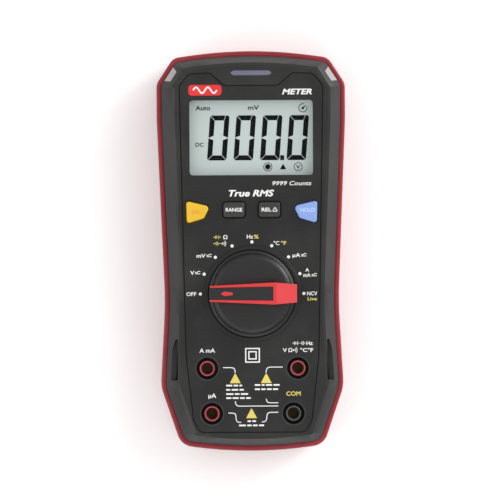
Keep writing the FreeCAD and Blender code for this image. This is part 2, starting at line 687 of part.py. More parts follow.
def along_y(radius, length, middle):
    """Cylinder along Y about a middle point."""
    start = middle - Vector(0, length / 2, 0)
    return Part.makeCylinder(radius, length, start, Vector(0, 1, 0))


def build_fuse_tubes():
    """Ceramic tubes of the two fuses."""
    return group([along_y(FUSE_RADIUS - 0.2, FUSE_LENGTH - 1, m) for m in fuse_places()])


def build_fuse_caps():
    """Metal caps on the fuses' ends."""
    caps = []
    for middle in fuse_places():
        for s in (-1, 1):
            centre = middle + Vector(0, s * (FUSE_LENGTH - FUSE_CAP_LENGTH) / 2, 0)
            cap = along_y(FUSE_RADIUS, FUSE_CAP_LENGTH, centre)
            caps.append(cap.cut(along_y(FUSE_RADIUS - 0.2, FUSE_LENGTH - 1, middle)))
    return group(caps)


def build_fuse_clips():
    """Spring clips under the board that grip the fuses' caps."""
    clips = []
    for middle in fuse_places():
        for s in (-1, 1):
            centre = middle + Vector(0, s * (FUSE_LENGTH - FUSE_CAP_LENGTH) / 2, 0)
            half = FUSE_RADIUS + 0.6
            clip = block(centre.x - half, centre.x + half, centre.y - 2, centre.y + 2,
                         centre.z - 1.5, PCB_Z)
            clips.append(clip.cut([along_y(FUSE_RADIUS, FUSE_CAP_LENGTH, centre),
                                   block(centre.x - FUSE_RADIUS, centre.x + FUSE_RADIUS,
                                         centre.y - 2, centre.y + 2, centre.z - 2, centre.z)]))
    return group(clips)


def build_measuring_chip():
    """Measuring chip: a flat square package with its leads as a thin skirt."""
    y = WINDOW_Y - 6
    body = prism(rectangle(CHIP_SIZE, CHIP_SIZE, 0, y), PCB_Z - CHIP_HEIGHT, PCB_Z - 0.2)
    return body.fuse(prism(rectangle(CHIP_SIZE + 3, CHIP_SIZE + 3, 0, y), PCB_Z - 0.4, PCB_Z))


def build_buzzer():
    """Round sounder under the board, with its sound hole."""
    x, y = SIDE / 2, WINDOW_Y
    return cylinder(BUZZER_RADIUS, PCB_Z - BUZZER_HEIGHT, PCB_Z, x, y).cut(
        cylinder(1.0, PCB_Z - BUZZER_HEIGHT, PCB_Z - 2, x, y))


def build_protection_discs():
    """Disc-shaped surge and overheat protectors, on edge between the upper jacks."""
    y = BOTTOM + UPPER_JACK[1]
    discs = []
    for x in (-6.0, 0.0, 6.0):
        start = Vector(x - DISC_THICKNESS / 2, y, PCB_Z - DISC_RADIUS - 0.6)
        disc = Part.makeCylinder(DISC_RADIUS, DISC_THICKNESS, start, Vector(1, 0, 0))
        leads = block(x - 0.4, x + 0.4, y - 2.5, y + 2.5, PCB_Z - DISC_RADIUS, PCB_Z)
        discs.append(disc.fuse(leads))
    return group(discs)


def build_leds():
    """Lamps on the board under the light bar."""
    places = [(s * LIGHT_BAR_LENGTH / 4, LIGHT_BAR_Y) for s in (-1, 1)]
    return group([prism(rectangle(LED_SIZE, LED_SIZE, x, y, 0.3), PCB_TOP_Z,
                        PCB_TOP_Z + LED_HEIGHT) for x, y in places])


def build_light_bar():
    """Translucent light bar, flush with the face, on a flange that reaches to its lamps."""
    bar = prism(light_bar_outline(), CEILING_Z, FACE_Z)
    return bar.fuse(prism(light_bar_outline(LIGHT_BAR_FLANGE), PCB_TOP_Z + LED_HEIGHT + 0.3,
                          CEILING_Z))


# ---- keys ---------------------------------------------------------------------------------

def build_key(name):
    """Key cap with a softened top edge, and a flange that keeps it under the cover."""
    cap = prism(key_outlines()[name], KEY_FLANGE_Z, KEY_TOP_Z)
    top_edges = [e for e in cap.Edges if abs(e.BoundBox.ZMin - KEY_TOP_Z) < 1e-6]
    cap = cap.makeFillet(KEY_EDGE_RADIUS, top_edges)
    flange = prism(key_outlines(KEY_FLANGE)[name], KEY_FLANGE_Z,
                   KEY_FLANGE_Z + KEY_FLANGE_THICKNESS)
    return cap.fuse(flange)


def build_keypad_mat():
    """Silicone mat on the board with one dome under each key."""
    half = CORNER_KEY[1][0]
    mat = prism(rectangle(2 * half, KEY_HEIGHT + 3, 0, KEYS_Y, 2.0), PCB_TOP_Z,
                PCB_TOP_Z + MAT_THICKNESS)
    domes = []
    for corners in key_outlines().values():
        x = sum(c[0] for c in corners) / len(corners)
        y = sum(c[1] for c in corners) / len(corners)
        domes.append(Part.makeCone(MAT_DOME_RADIUS, MAT_DOME_RADIUS * 0.6,
                                   MAT_DOME_Z - PCB_TOP_Z, Vector(x, y, PCB_TOP_Z)))
    return mat.fuse(domes)


# ---- selector -----------------------------------------------------------------------------

def bar_solid(z_low, z_high):
    """The whole grip bar as one block: narrow at its point, widest where the tail starts."""
    lower = [(BAR_POINT_X, -BAR_POINT_HALF), (BAR_WIDE_X, -BAR_WIDE_HALF),
             (BAR_TAIL_X, -BAR_TAIL_HALF)]
    upper = [(x, -y) for x, y in reversed(lower)]
    corners = [(KNOB.x + x, KNOB.y + y, BAR_EDGE_RADIUS) for x, y in lower + upper]
    return prism(corners, z_low, z_high)


def insert_corners(shrink=0.0):
    """Plan of the dark strip between the bar's rails."""
    point, wide = INSERT_POINT_HALF - shrink, INSERT_WIDE_HALF - shrink
    x_low, x_high = KNOB.x + BAR_POINT_X - 1 + shrink, KNOB.x + BAR_WIDE_X - 0.6 - shrink
    return [(x_low, KNOB.y - point, 0.3), (x_high, KNOB.y - wide, 0.3),
            (x_high, KNOB.y + wide, 0.3), (x_low, KNOB.y + point, 0.3)]


def build_knob_pointer():
    """Red bar across the knob: two rails and a solid tail that slopes down to its end."""
    bar = bar_solid(KNOB_TOP_Z - BAR_SINK, BAR_TOP_Z)
    pocket = prism(insert_corners(), BAR_TOP_Z - INSERT_DEPTH, BAR_TOP_Z + 1)
    low_x, high_x = KNOB.x + BAR_WIDE_X + 1.0, KNOB.x + BAR_TAIL_X + 1
    drop = BAR_TAIL_DROP * (high_x - low_x) / (KNOB.x + BAR_TAIL_X - low_x)
    section = [Vector(low_x, KNOB.y - 9, BAR_TOP_Z), Vector(high_x, KNOB.y - 9, BAR_TOP_Z),
               Vector(high_x, KNOB.y - 9, BAR_TOP_Z - drop)]
    slope = Part.Face(Part.makePolygon(section + section[:1])).extrude(Vector(0, 18, 0))
    return bar.cut([pocket, slope])


def build_knob_insert():
    """Dark strip between the rails, with the seat of the mark."""
    strip = prism(insert_corners(ASSEMBLY_GAP / 2), BAR_TOP_Z - INSERT_DEPTH,
                  BAR_TOP_Z - INSERT_SUNK)
    strip = strip.common(bar_solid(KNOB_TOP_Z, BAR_TOP_Z))
    return strip.cut(build_knob_mark())


def build_knob_mark():
    """Small red arrowhead that points at the chosen range."""
    x = KNOB.x + BAR_POINT_X + MARK_FROM_POINT
    half = MARK_WIDTH / 2
    corners = [(x, KNOB.y, 0.2), (x + half * 1.5, KNOB.y - half, 0.2),
               (x + MARK_LENGTH, KNOB.y - half * 0.6, 0.2),
               (x + MARK_LENGTH, KNOB.y + half * 0.6, 0.2),
               (x + half * 1.5, KNOB.y + half, 0.2)]
    top = BAR_TOP_Z - INSERT_SUNK
    return prism(corners, top - MARK_HEIGHT, top + 0.05)


def build_knob_disc():
    """Round knob with a skirt, a rounded edge, a seat for the bar and a hub into the case."""
    top, skirt = KNOB_TOP_Z, KNOB_Z + KNOB_SKIRT_HEIGHT
    edge = KNOB_EDGE_RADIUS
    arc_middle = Vector(KNOB_RADIUS - edge + edge * math.sin(math.pi / 4), 0,
                        top - edge + edge * math.cos(math.pi / 4))
    points = [Vector(0, 0, KNOB_Z), Vector(KNOB_SKIRT_RADIUS, 0, KNOB_Z),
              Vector(KNOB_SKIRT_RADIUS, 0, skirt), Vector(KNOB_RADIUS, 0, skirt + 0.5),
              Vector(KNOB_RADIUS, 0, top - edge)]
    edges = [Part.LineSegment(a, b).toShape() for a, b in zip(points, points[1:])]
    rim_top = Vector(KNOB_RADIUS - edge, 0, top)
    edges.append(Part.Arc(points[-1], arc_middle, rim_top).toShape())
    edges.append(Part.LineSegment(rim_top, Vector(0, 0, top)).toShape())
    edges.append(Part.LineSegment(Vector(0, 0, top), points[0]).toShape())
    disc = Part.Face(Part.Wire(edges)).revolve(Vector(0, 0, 0), Vector(0, 0, 1), 360)
    disc.translate(KNOB)
    disc = disc.fuse(cylinder(HUB_RADIUS, ROTOR_TOP_Z, KNOB_Z, KNOB.x, KNOB.y))
    disc = disc.fuse(cylinder(ROTOR_HUB_RADIUS - ASSEMBLY_GAP, ROTOR_Z, ROTOR_TOP_Z,
                              KNOB.x, KNOB.y))
    return disc.cut(bar_solid(top - BAR_SINK, top + 1))


def build_switch_rotor():
    """Rotor on the knob's hub: carries the wipers below and the detent balls above."""
    rotor = tube(ROTOR_RADIUS, ROTOR_HUB_RADIUS, ROTOR_Z, ROTOR_TOP_Z, KNOB.x, KNOB.y)
    pockets = [cylinder(DETENT_BALL_RADIUS, ROTOR_Z + 0.6, ROTOR_TOP_Z, x, y)
               for x, y in detent_places()]
    return rotor.cut(pockets)


def detent_places():
    """Where the two detent balls sit in the rotor."""
    return [(KNOB.x, KNOB.y + s * DETENT_RADIUS) for s in (-1, 1)]


def build_detent_balls():
    """Steel balls that click into the ring."""
    return group([Part.makeSphere(DETENT_BALL_RADIUS, Vector(x, y, ROTOR_TOP_Z))
                  for x, y in detent_places()])


def build_detent_ring():
    """Ring under the cover with the ball track, open downwards."""
    low = ROTOR_TOP_Z + MOVING_GAP
    ring = tube(ROTOR_RADIUS - 0.3, HUB_HOLE_RADIUS, low, CEILING_Z, KNOB.x, KNOB.y)
    track = DETENT_BALL_RADIUS + MOVING_GAP / 2
    groove = tube(DETENT_RADIUS + track, DETENT_RADIUS - track, low,
                  ROTOR_TOP_Z + DETENT_BALL_RADIUS + 0.05, KNOB.x, KNOB.y)
    return ring.cut(groove)


def build_wipers():
    """Sprung bridges under the rotor that join tracks on the board."""
    wipers = []
    for i in range(WIPER_COUNT):
        radius = 5.5 + 1.8 * i
        arm = block(radius - 0.5, radius + 0.5, -2.5, 2.5, ROTOR_Z - 0.3, ROTOR_Z)
        for s in (-1, 1):
            arm = arm.fuse(block(radius - 0.5, radius + 0.5, s * 2.0 - 0.4, s * 2.0 + 0.4,
                                 PCB_TOP_Z + 0.05, ROTOR_Z))
        arm.translate(KNOB)
        arm.rotate(KNOB, Vector(0, 0, 1), i * 180.0)
        wipers.append(arm)
    return group(wipers)


# ---- jacks --------------------------------------------------------------------------------

def build_jack_shrouds():
    """Four cups let into the face, one round each post: room for a plug's shroud."""
    cups = []
    for x, y in JACKS.values():
        wall = tube(JACK_OUTER_RADIUS, JACK_RECESS_RADIUS, JACK_BOTTOM_Z, FACE_Z, x, y)
        floor = tube(JACK_RECESS_RADIUS, JACK_POST_RADIUS + ASSEMBLY_GAP, JACK_BOTTOM_Z,
                     JACK_BOTTOM_Z + JACK_FLOOR, x, y)
        cups.append(wall.fuse(floor).removeSplitter())
    return group(cups)


def build_jack(name):
    """Insulating post over a socket, with a flared mouth and a softened tip."""
    x, y = JACKS[name]
    seat_radius = SOCKET_BORE_RADIUS + SOCKET_WALL
    post = tube(JACK_POST_RADIUS, seat_radius, JACK_BOTTOM_Z, SOCKET_TOP_Z, x, y)
    tip = cylinder(JACK_POST_RADIUS, SOCKET_TOP_Z, POST_TOP_Z, x, y)
    rim = [e for e in tip.Edges if abs(e.BoundBox.ZMin - POST_TOP_Z) < 1e-6]
    tip = tip.makeFillet(JACK_TIP_RADIUS, rim)
    mouth = Part.makeCone(SOCKET_BORE_RADIUS, JACK_MOUTH_RADIUS, SOCKET_TIP,
                          Vector(x, y, SOCKET_TOP_Z))
    return post.fuse(tip.cut(mouth))


def build_socket(name):
    """Brass socket: blind bore for a 4 mm plug, and the flange soldered under the board."""
    x, y = JACKS[name]
    low = SOCKET_TOP_Z - SOCKET_DEPTH
    socket = cylinder(SOCKET_BORE_RADIUS + SOCKET_WALL, low - SOCKET_END, SOCKET_TOP_Z, x, y)
    socket = socket.fuse(cylinder(SOCKET_FLANGE_RADIUS, PCB_Z - SOCKET_FLANGE_THICKNESS, PCB_Z,
                                  x, y))
    return socket.cut(cylinder(SOCKET_BORE_RADIUS, low, SOCKET_TOP_Z, x, y))


# ---- stand, batteries, fasteners ----------------------------------------------------------

def stand_outline(hinge_end, grow=0.0):
    """The stand in plan: rounded at its free end, square at the hinge."""
    half = STAND_WIDTH / 2
    corners = [(-half, STAND_END_Y, STAND_CORNER), (half, STAND_END_Y, STAND_CORNER),
               (half, hinge_end, 0.3), (-half, hinge_end, 0.3)]
    return inset(corners, [-grow] * len(corners))


def build_tilt_stand():
    """Tilt stand: a plate with finger grooves and rounded free corners, on a hinge barrel."""
    half = STAND_WIDTH / 2
    plate = prism(stand_outline(HINGE.y), STAND_Z, STAND_Z + STAND_THICKNESS)
    reach = STAND_GROOVE_LENGTH / 2
    for i in range(STAND_GROOVES):
        y = STAND_END_Y + STAND_GROOVE_PITCH * (i + 1.5)
        plate = plate.cut(prism(rectangle(2 * reach, STAND_GROOVE_WIDTH, 0, y,
                                          STAND_GROOVE_WIDTH * 0.45),
                                STAND_Z, STAND_Z + STAND_GROOVE_DEPTH))
    barrel = Part.makeCylinder(STAND_BARREL_RADIUS, STAND_WIDTH,
                               Vector(-half, HINGE.y, HINGE.z), Vector(1, 0, 0))
    plate = plate.cut(block(-half, half, HINGE.y - STAND_BARREL_RADIUS * 0.6, HINGE.y + 1,
                            STAND_Z, STAND_Z + STAND_THICKNESS)).fuse(barrel)
    bore = Part.makeCylinder(PIN_RADIUS + 3 * PIN_FIT, STAND_WIDTH,
                             Vector(-half, HINGE.y, HINGE.z), Vector(1, 0, 0))
    return plate.cut(bore)


def build_stand_pin():
    """Steel hinge pin of the stand, held in the rear case."""
    half = STAND_WIDTH / 2 + STAND_SIDE_GAP + PIN_ENGAGEMENT - 0.2
    return Part.makeCylinder(PIN_RADIUS, 2 * half, Vector(-half, HINGE.y, HINGE.z),
                             Vector(1, 0, 0))


def door_outline(grow=0.0):
    """Battery door in plan."""
    return rectangle(2 * (TRAY_HALF_WIDTH + DOOR_LAP + grow),
                     TRAY_LENGTH + 2 * (DOOR_END + grow), 0, TRAY_Y, 2.0 + grow)


def build_battery_door():
    """Battery door in the floor of the stand's recess, with pockets for its screw heads."""
    door = prism(door_outline(), RECESS_Z, DOOR_TOP_Z)
    holes = [cylinder(SCREW_HOLE, RECESS_Z, DOOR_TOP_Z, x, y) for x, y in DOOR_SCREWS]
    holes += [cylinder(HEAD_HOLE, RECESS_Z, DOOR_SEAT_Z, x, y) for x, y in DOOR_SCREWS]
    return door.cut(holes)


def both_ways(shape):
    """A shape for the left-hand cell, and the same for the right-hand cell, end for end."""
    turned_round = shape.copy()
    turned_round.rotate(Vector(0, TRAY_Y, 0), Vector(0, 0, 1), 180)
    return group([shape, turned_round])


def cell_axis(y):
    """A point on the left-hand cell's axis."""
    return Vector(-CELL_RADIUS - CELL_GAP / 2, y, CELL_Z)


def build_cells():
    """Two AA cells, side by side and opposite ways round, each with its positive nipple."""
    cell = Part.makeCylinder(CELL_RADIUS, CELL_LENGTH, cell_axis(CELL_END_Y - CELL_LENGTH),
                             Vector(0, 1, 0))
    nipple = Part.makeCylinder(CELL_NIPPLE_RADIUS, CELL_NIPPLE_LENGTH, cell_axis(CELL_END_Y),
                               Vector(0, 1, 0))
    return both_ways(cell.fuse(nipple))


def build_cell_springs():
    """Strip springs, bent like an N, that press on the cells' flat ends."""
    low = cell_axis(TRAY_Y - TRAY_LENGTH / 2 + CONTACT_THICKNESS)
    high_y = CELL_END_Y - CELL_LENGTH
    width, half, strip = Vector(SPRING_WIDTH, 0, 0), SPRING_HEIGHT / 2, SPRING_STRIP
    start = low - width / 2

    def leg(corners):
        points = [Vector(start.x, y, start.z + z) for y, z in corners]
        return Part.Face(Part.makePolygon(points + points[:1])).extrude(width)

    first = leg([(low.y, -half), (low.y + strip, -half), (low.y + strip, half), (low.y, half)])
    last = leg([(high_y - strip, -half), (high_y, -half), (high_y, half),
                (high_y - strip, half)])
    slant = leg([(low.y, half), (low.y + 1.5 * strip, half), (high_y, -half),
                 (high_y - 1.5 * strip, -half)])
    return both_ways(first.fuse([slant, last]).removeSplitter())


def build_cell_contacts():
    """Contact plates at the tray's two ends, one across both cells at each end."""
    height = 2 * CELL_RADIUS - 2
    plates = []
    for side in (-1, 1):
        y = TRAY_Y + side * (TRAY_LENGTH - CONTACT_THICKNESS) / 2
        plates.append(block(-TRAY_HALF_WIDTH + 1, TRAY_HALF_WIDTH - 1,
                            y - CONTACT_THICKNESS / 2, y + CONTACT_THICKNESS / 2,
                            CELL_Z - height / 2, CELL_Z + height / 2))
    return group(plates)


def build_case_screws():
    """Four screws that pull the two shells together from the back."""
    return group([screw(x, y, SCREW_SEAT_Z, SCREW_TOP_Z - SCREW_SEAT_Z, SCREW_HEAD_HEIGHT)
                  for x, y in CASE_SCREWS])


def build_door_screws():
    """Two screws that hold the battery door."""
    return group([screw(x, y, DOOR_SEAT_Z, DOOR_SCREW_LENGTH, DOOR_SCREW_HEAD_HEIGHT)
                  for x, y in DOOR_SCREWS])


def build_rubber_feet():
    """Four feet seated in the back, domed a little at their edge."""
    feet = []
    for x, y in FEET:
        foot = cylinder(FOOT_RADIUS, 0, BACK_Z + FOOT_SEAT, x, y)
        rim = [e for e in foot.Edges if abs(e.BoundBox.ZMax) < 1e-6]
        feet.append(foot.makeFillet(FOOT_PROUD / 2, rim))
    return group(feet)


def main():
    os.makedirs("parts", exist_ok=True)
    nodes = {
        "rear_case": build_rear_case(),
        "front_cover": build_front_cover(),
        "face_panel": build_face_panel(),
        "display_window": build_display_window(),
        "lcd_panel": build_lcd_panel(),
        "lcd_frame": build_lcd_frame(),
        "lcd_backlight": build_backlight(),
        "lcd_contact_strips": build_contact_strips(),
        "circuit_board": build_circuit_board(),
        "fuse_tubes": build_fuse_tubes(),
        "fuse_caps": build_fuse_caps(),
        "fuse_clips": build_fuse_clips(),
        "measuring_chip": build_measuring_chip(),
        "buzzer": build_buzzer(),
        "protection_discs": build_protection_discs(),
        "alarm_leds": build_leds(),
        "light_bar": build_light_bar(),
        "corner_window_left": build_corner_window(-1),
        "corner_window_right": build_corner_window(1),
        "keypad_mat": build_keypad_mat(),
        "knob_disc": build_knob_disc(),
        "knob_pointer": build_knob_pointer(),
        "knob_insert": build_knob_insert(),
        "knob_mark": build_knob_mark(),
        "switch_rotor": build_switch_rotor(),
        "switch_wipers": build_wipers(),
        "detent_balls": build_detent_balls(),
        "detent_ring": build_detent_ring(),
        "tilt_stand": build_tilt_stand(),
        "stand_pin": build_stand_pin(),
        "battery_door": build_battery_door(),
        "battery_cells": build_cells(),
        "battery_springs": build_cell_springs(),
        "battery_contacts": build_cell_contacts(),
        "case_screws": build_case_screws(),
        "door_screws": build_door_screws(),
        "rubber_feet": build_rubber_feet(),
        "jack_shrouds": build_jack_shrouds(),
    }
    for name in key_outlines():
        nodes["key_" + name] = build_key(name)
    for name in JACKS:
        nodes["jack_" + name] = build_jack(name)
        nodes["socket_" + name] = build_socket(name)
    for name, shape in nodes.items():
        save(shape, name)


if __name__ == "__main__":
    main()
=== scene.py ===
"""Finishes, printing, display and studio for a handheld digital multimeter.

Run as a script: every operator below builds one group of pieces round the meter's frame.
"""
import json
import math

import bmesh
import bpy
import numpy as np
from bpy.props import FloatProperty, FloatVectorProperty, PointerProperty
from mathutils import Matrix, Vector

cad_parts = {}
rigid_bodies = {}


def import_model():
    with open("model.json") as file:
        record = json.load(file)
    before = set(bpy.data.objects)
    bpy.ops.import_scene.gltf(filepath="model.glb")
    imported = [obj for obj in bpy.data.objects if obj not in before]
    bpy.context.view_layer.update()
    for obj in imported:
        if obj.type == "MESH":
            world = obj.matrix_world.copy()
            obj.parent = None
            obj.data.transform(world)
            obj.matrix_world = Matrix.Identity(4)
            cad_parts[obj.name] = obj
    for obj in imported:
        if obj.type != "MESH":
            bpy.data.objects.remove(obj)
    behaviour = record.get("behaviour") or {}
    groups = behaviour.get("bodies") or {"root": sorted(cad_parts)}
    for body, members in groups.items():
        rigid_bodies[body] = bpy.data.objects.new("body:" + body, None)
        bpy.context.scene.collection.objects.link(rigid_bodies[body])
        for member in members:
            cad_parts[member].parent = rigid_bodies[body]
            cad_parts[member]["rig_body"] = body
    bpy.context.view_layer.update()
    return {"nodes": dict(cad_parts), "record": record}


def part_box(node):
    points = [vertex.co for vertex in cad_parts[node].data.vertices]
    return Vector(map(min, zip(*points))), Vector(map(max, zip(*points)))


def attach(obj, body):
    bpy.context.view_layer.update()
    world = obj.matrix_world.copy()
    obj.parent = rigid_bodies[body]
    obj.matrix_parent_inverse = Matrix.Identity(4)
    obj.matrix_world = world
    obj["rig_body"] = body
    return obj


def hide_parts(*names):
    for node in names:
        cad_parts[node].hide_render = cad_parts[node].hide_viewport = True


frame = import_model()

bl_info = {
    "name": "Handheld multimeter",
    "version": (1, 0, 0),
    "blender": (4, 5, 0),
    "location": "View3D > Sidebar > Meter",
    "description": "Finishes, printing, display and studio for a handheld multimeter",
    "category": "Object",
}

MM = 0.001
NODES = frame["nodes"]


def middle(node):
    """Centre of a node's box."""
    low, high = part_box(node)
    return (low + high) / 2


FACE_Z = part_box("jack_shrouds")[1].z
KNOB = middle("knob_disc")
WINDOW = middle("display_window")
LCD_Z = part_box("lcd_panel")[1].z
KEY_TOP_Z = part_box("key_range")[1].z
PRINT_SINK = 0.03 * MM          # printed slabs reach this far into what they are printed on
JACK_MOUTH = 2.85 * MM          # a jack post's inside, painted in shade, lies within this distance of its axis
BEVEL_ANGLE = 28.0              # edges that turn by more degrees than this are rounded
BEVEL_SEGMENTS = 2
CAPITAL_SHARE = 0.7             # capitals are this share of the font's size


# ---- what a user would change ---------------------------------------------------------------

def colour(name, description, default):
    """A colour property with the usual range."""
    return FloatVectorProperty(name=name, description=description, default=default,
                               subtype="COLOR", size=3, min=0.0, max=1.0)


def length(name, description, default):
    """A length property in metres."""
    return FloatProperty(name=name, description=description, default=default, min=0.0,
                         unit="LENGTH", precision=5)


class MeterColours(bpy.types.PropertyGroup):
    """Colours of the mouldings and of the printing."""
    casing: colour("Casing", "Rear case and its rim", (0.25, 0.017, 0.025))
    cover: colour("Cover", "Front cover", (0.012, 0.0115, 0.011))
    panel: colour("Panel", "Printed face panel", (0.010, 0.0095, 0.0095))
    knob: colour("Knob", "Knob disc and insert", (0.010, 0.0095, 0.0095))
    pointer: colour("Pointer", "Bar across the knob", (0.54, 0.022, 0.026))
    select_key: colour("Select key", "Left outer key", (0.64, 0.39, 0.014))
    hold_key: colour("Hold key", "Right outer key", (0.20, 0.31, 0.60))
    middle_keys: colour("Middle keys", "Range and relative keys", (0.022, 0.021, 0.021))
    jack: colour("Jacks", "Live jacks", (0.34, 0.045, 0.060))
    display: colour("Display", "Liquid crystal at rest", (0.40, 0.455, 0.440))
    segment: colour("Segments", "Liquid crystal when on", (0.003, 0.004, 0.004))
    white_print: colour("White print", "Most legends", (0.72, 0.72, 0.71))
    yellow_print: colour("Yellow print", "Second functions", (0.62, 0.50, 0.10))


class MeterSizes(bpy.types.PropertyGroup):
    """Sizes of the finishing work."""
    edge: length("Edge", "Softened edge on mouldings", 0.25 * MM)
    print_height: length("Print height", "How far printing stands out", 0.04 * MM)
    digit_height: length("Digit height", "Height of a display digit", 21.2 * MM)
    digit_width: length("Digit width", "Width of a display digit", 9.2 * MM)
    digit_pitch: length("Digit pitch", "From one digit to the next", 12.5 * MM)
    digit_stroke: length("Digit stroke", "Width of a segment", 2.35 * MM)
    dial_radius: length("Dial radius", "Circle of dots round the knob", 24.4 * MM)
    camera_distance: length("Camera distance", "From the face to the lens", 2.5)
    view_width: length("View width", "Width of the picture at the rim", 236.4 * MM)


def settings():
    """The two groups of settings."""
    scene = bpy.context.scene
    return scene.meter_colours, scene.meter_sizes


# ---- meshes ---------------------------------------------------------------------------------

def link(mesh, name, material, body):
    """Make an object of a mesh, give it its material and let it ride on a body."""
    mesh.name = name
    piece = bpy.data.objects.new(name, mesh)
    bpy.context.scene.collection.objects.link(piece)
    mesh.materials.clear()
    mesh.materials.append(material)
    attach(piece, body)
    return piece


def smooth_by_angle(mesh, degrees=32.0):
    """Shade smooth except across edges sharper than the angle."""
    mesh.shade_smooth()
    mesh.set_sharp_from_angle(angle=math.radians(degrees))


def slabs(outlines, z_low, z_high):
    """Closed flat slabs: each outline is swept straight up from z_low to z_high.

    An outline is an array of (x, y) points, anticlockwise. Its slab has one face below, one
    above and one upright face for each side.
    """
    points, faces, start = [], [], 0
    for outline in outlines:
        outline = np.asarray(outline, dtype=float)
        count = len(outline)
        for z in (z_low, z_high):
            points.append(np.column_stack([outline, np.full(count, z)]))
        index = np.arange(count)
        after = np.roll(index, -1)
        faces.append((start + index[::-1]).tolist())
        faces.append((start + count + index).tolist())
        sides = np.column_stack([index, after, after + count, index + count]) + start
        faces.extend(sides.tolist())
        start += 2 * count
    mesh = bpy.data.meshes.new("slabs")
    mesh.from_pydata(np.concatenate(points).tolist(), [], faces)
    mesh.validate()
    return mesh


def circle(x, y, radius, count=32):
    """Points round a circle: (x + r cos a, y + r sin a)."""
    angle = np.linspace(0, 2 * math.pi, count, endpoint=False)
    return np.column_stack([x + radius * np.cos(angle), y + radius * np.sin(angle)])


def stroke(points, width):
    """A line of constant width through points: each point is moved to both sides, square to
    the mean direction of the two runs that meet there."""
    points = np.asarray(points, dtype=float)
    runs = np.diff(points, axis=0)
    runs /= np.linalg.norm(runs, axis=1)[:, None]
    before = np.vstack([runs[:1], runs])
    after = np.vstack([runs, runs[-1:]])
    mean = before + after
    mean /= np.linalg.norm(mean, axis=1)[:, None]
    widen = 1 / np.maximum(np.sum(mean * before, axis=1), 0.5)
    side = np.column_stack([-mean[:, 1], mean[:, 0]]) * (width / 2 * widen)[:, None]
    return np.vstack([points - side, (points + side)[::-1]])


def ring(x, y, radius, width, count=40):
    """A ring as two half strokes, so that each half is a plain outline."""
    halves = []
    for start in (0, math.pi):
        angle = np.linspace(start, start + math.pi, count // 2 + 1)
        arc = np.column_stack([x + radius * np.cos(angle), y + radius * np.sin(angle)])
        halves.append(stroke(arc, width))
    return halves


def rounded(x_low, x_high, y_low, y_high, radius, count=6):
    """Rectangle with quarter circles at its corners."""
    parts = []
    quarter = np.linspace(0, math.pi / 2, count)
    centres = [(x_high - radius, y_high - radius), (x_low + radius, y_high - radius),
               (x_low + radius, y_low + radius), (x_high - radius, y_low + radius)]
    for i, (x, y) in enumerate(centres):
        angle = quarter + i * math.pi / 2
        parts.append(np.column_stack([x + radius * np.cos(angle), y + radius * np.sin(angle)]))
    return np.vstack(parts)


def joined(meshes, name):
    """One mesh from several."""
    work = bmesh.new()
    for mesh in meshes:
        work.from_mesh(mesh)
    result = bpy.data.meshes.new(name)
    work.to_mesh(result)
    work.free()
    return result


def lettering(rows, z_low, z_high):
    """Solid letters, each row stretched between two ends.

    A row is (text, x_low, x_high, y, cap height, boldness, slant), in metres, with y at the
    middle of the capitals.
    """
    meshes = []
    for text, x_low, x_high, y, height, bold, slant in rows:
        curve = bpy.data.curves.new("letters", type="FONT")
        curve.body = text
        curve.size = height / CAPITAL_SHARE
        curve.align_y = "TOP_BASELINE"
        curve.offset = bold * height
        curve.shear = slant
        curve.resolution_u = 3
        curve.extrude = (z_high - z_low) / 2
        holder = bpy.data.objects.new("letters", curve)
        bpy.context.scene.collection.objects.link(holder)
        graph = bpy.context.evaluated_depsgraph_get()
        mesh = bpy.data.meshes.new_from_object(holder.evaluated_get(graph))
        bpy.data.objects.remove(holder)
        x = np.empty(3 * len(mesh.vertices))
        mesh.vertices.foreach_get("co", x)
        left, right = x[::3].min(), x[::3].max()
        stretch = (x_high - x_low) / (right - left)
        mesh.transform(Matrix.Translation((x_low, y - height / 2, (z_low + z_high) / 2))
                       @ Matrix.Scale(stretch, 4, (1, 0, 0))
                       @ Matrix.Translation((-left, 0, 0)))
        meshes.append(mesh)
    return joined(meshes, "letters")


def softened(node, material, width, flat=0.5):
    """A copy of a node with its corners merged and its sharp edges rounded, in its place.

    flat is the most, in degrees, that two faces may differ by and still be joined.
    """
    work = bmesh.new()
    work.from_mesh(NODES[node].data)
    bmesh.ops.remove_doubles(work, verts=work.verts, dist=1e-6)
    bmesh.ops.dissolve_limit(work, angle_limit=math.radians(flat), verts=work.verts,
                             edges=work.edges)
    bmesh.ops.recalc_face_normals(work, faces=work.faces)
    mesh = bpy.data.meshes.new(node)
    work.to_mesh(mesh)
    work.free()
    smooth_by_angle(mesh)
    piece = link(mesh, "soft_" + node, material, NODES[node]["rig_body"])
    bevel = piece.modifiers.new("edge", "BEVEL")
    bevel.width = width
    bevel.segments = BEVEL_SEGMENTS
    bevel.limit_method = "ANGLE"
    bevel.angle_limit = math.radians(BEVEL_ANGLE)
    bevel.use_clamp_overlap = True
    bevel.harden_normals = True
    bevel.miter_outer = "MITER_ARC"
    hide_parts(node)
    return piece


def paint(node, material):
    """Give a node of the frame its material."""
    mesh = NODES[node].data
    mesh.materials.clear()
    mesh.materials.append(material)


# ---- node groups ----------------------------------------------------------------------------

def node_group(name, inputs, outputs):
    """An empty shader group with named sockets. Inputs are (name, type, default)."""
    group = bpy.data.node_groups.new(name, "ShaderNodeTree")
    for label, kind, default in inputs:
        socket = group.interface.new_socket(name=label, in_out="INPUT", socket_type=kind)
        if default is not None:
            socket.default_value = default
    for label, kind in outputs:
        group.interface.new_socket(name=label, in_out="OUTPUT", socket_type=kind)
    entry = group.nodes.new("NodeGroupInput")
    leave = group.nodes.new("NodeGroupOutput")
    return group, entry, leave


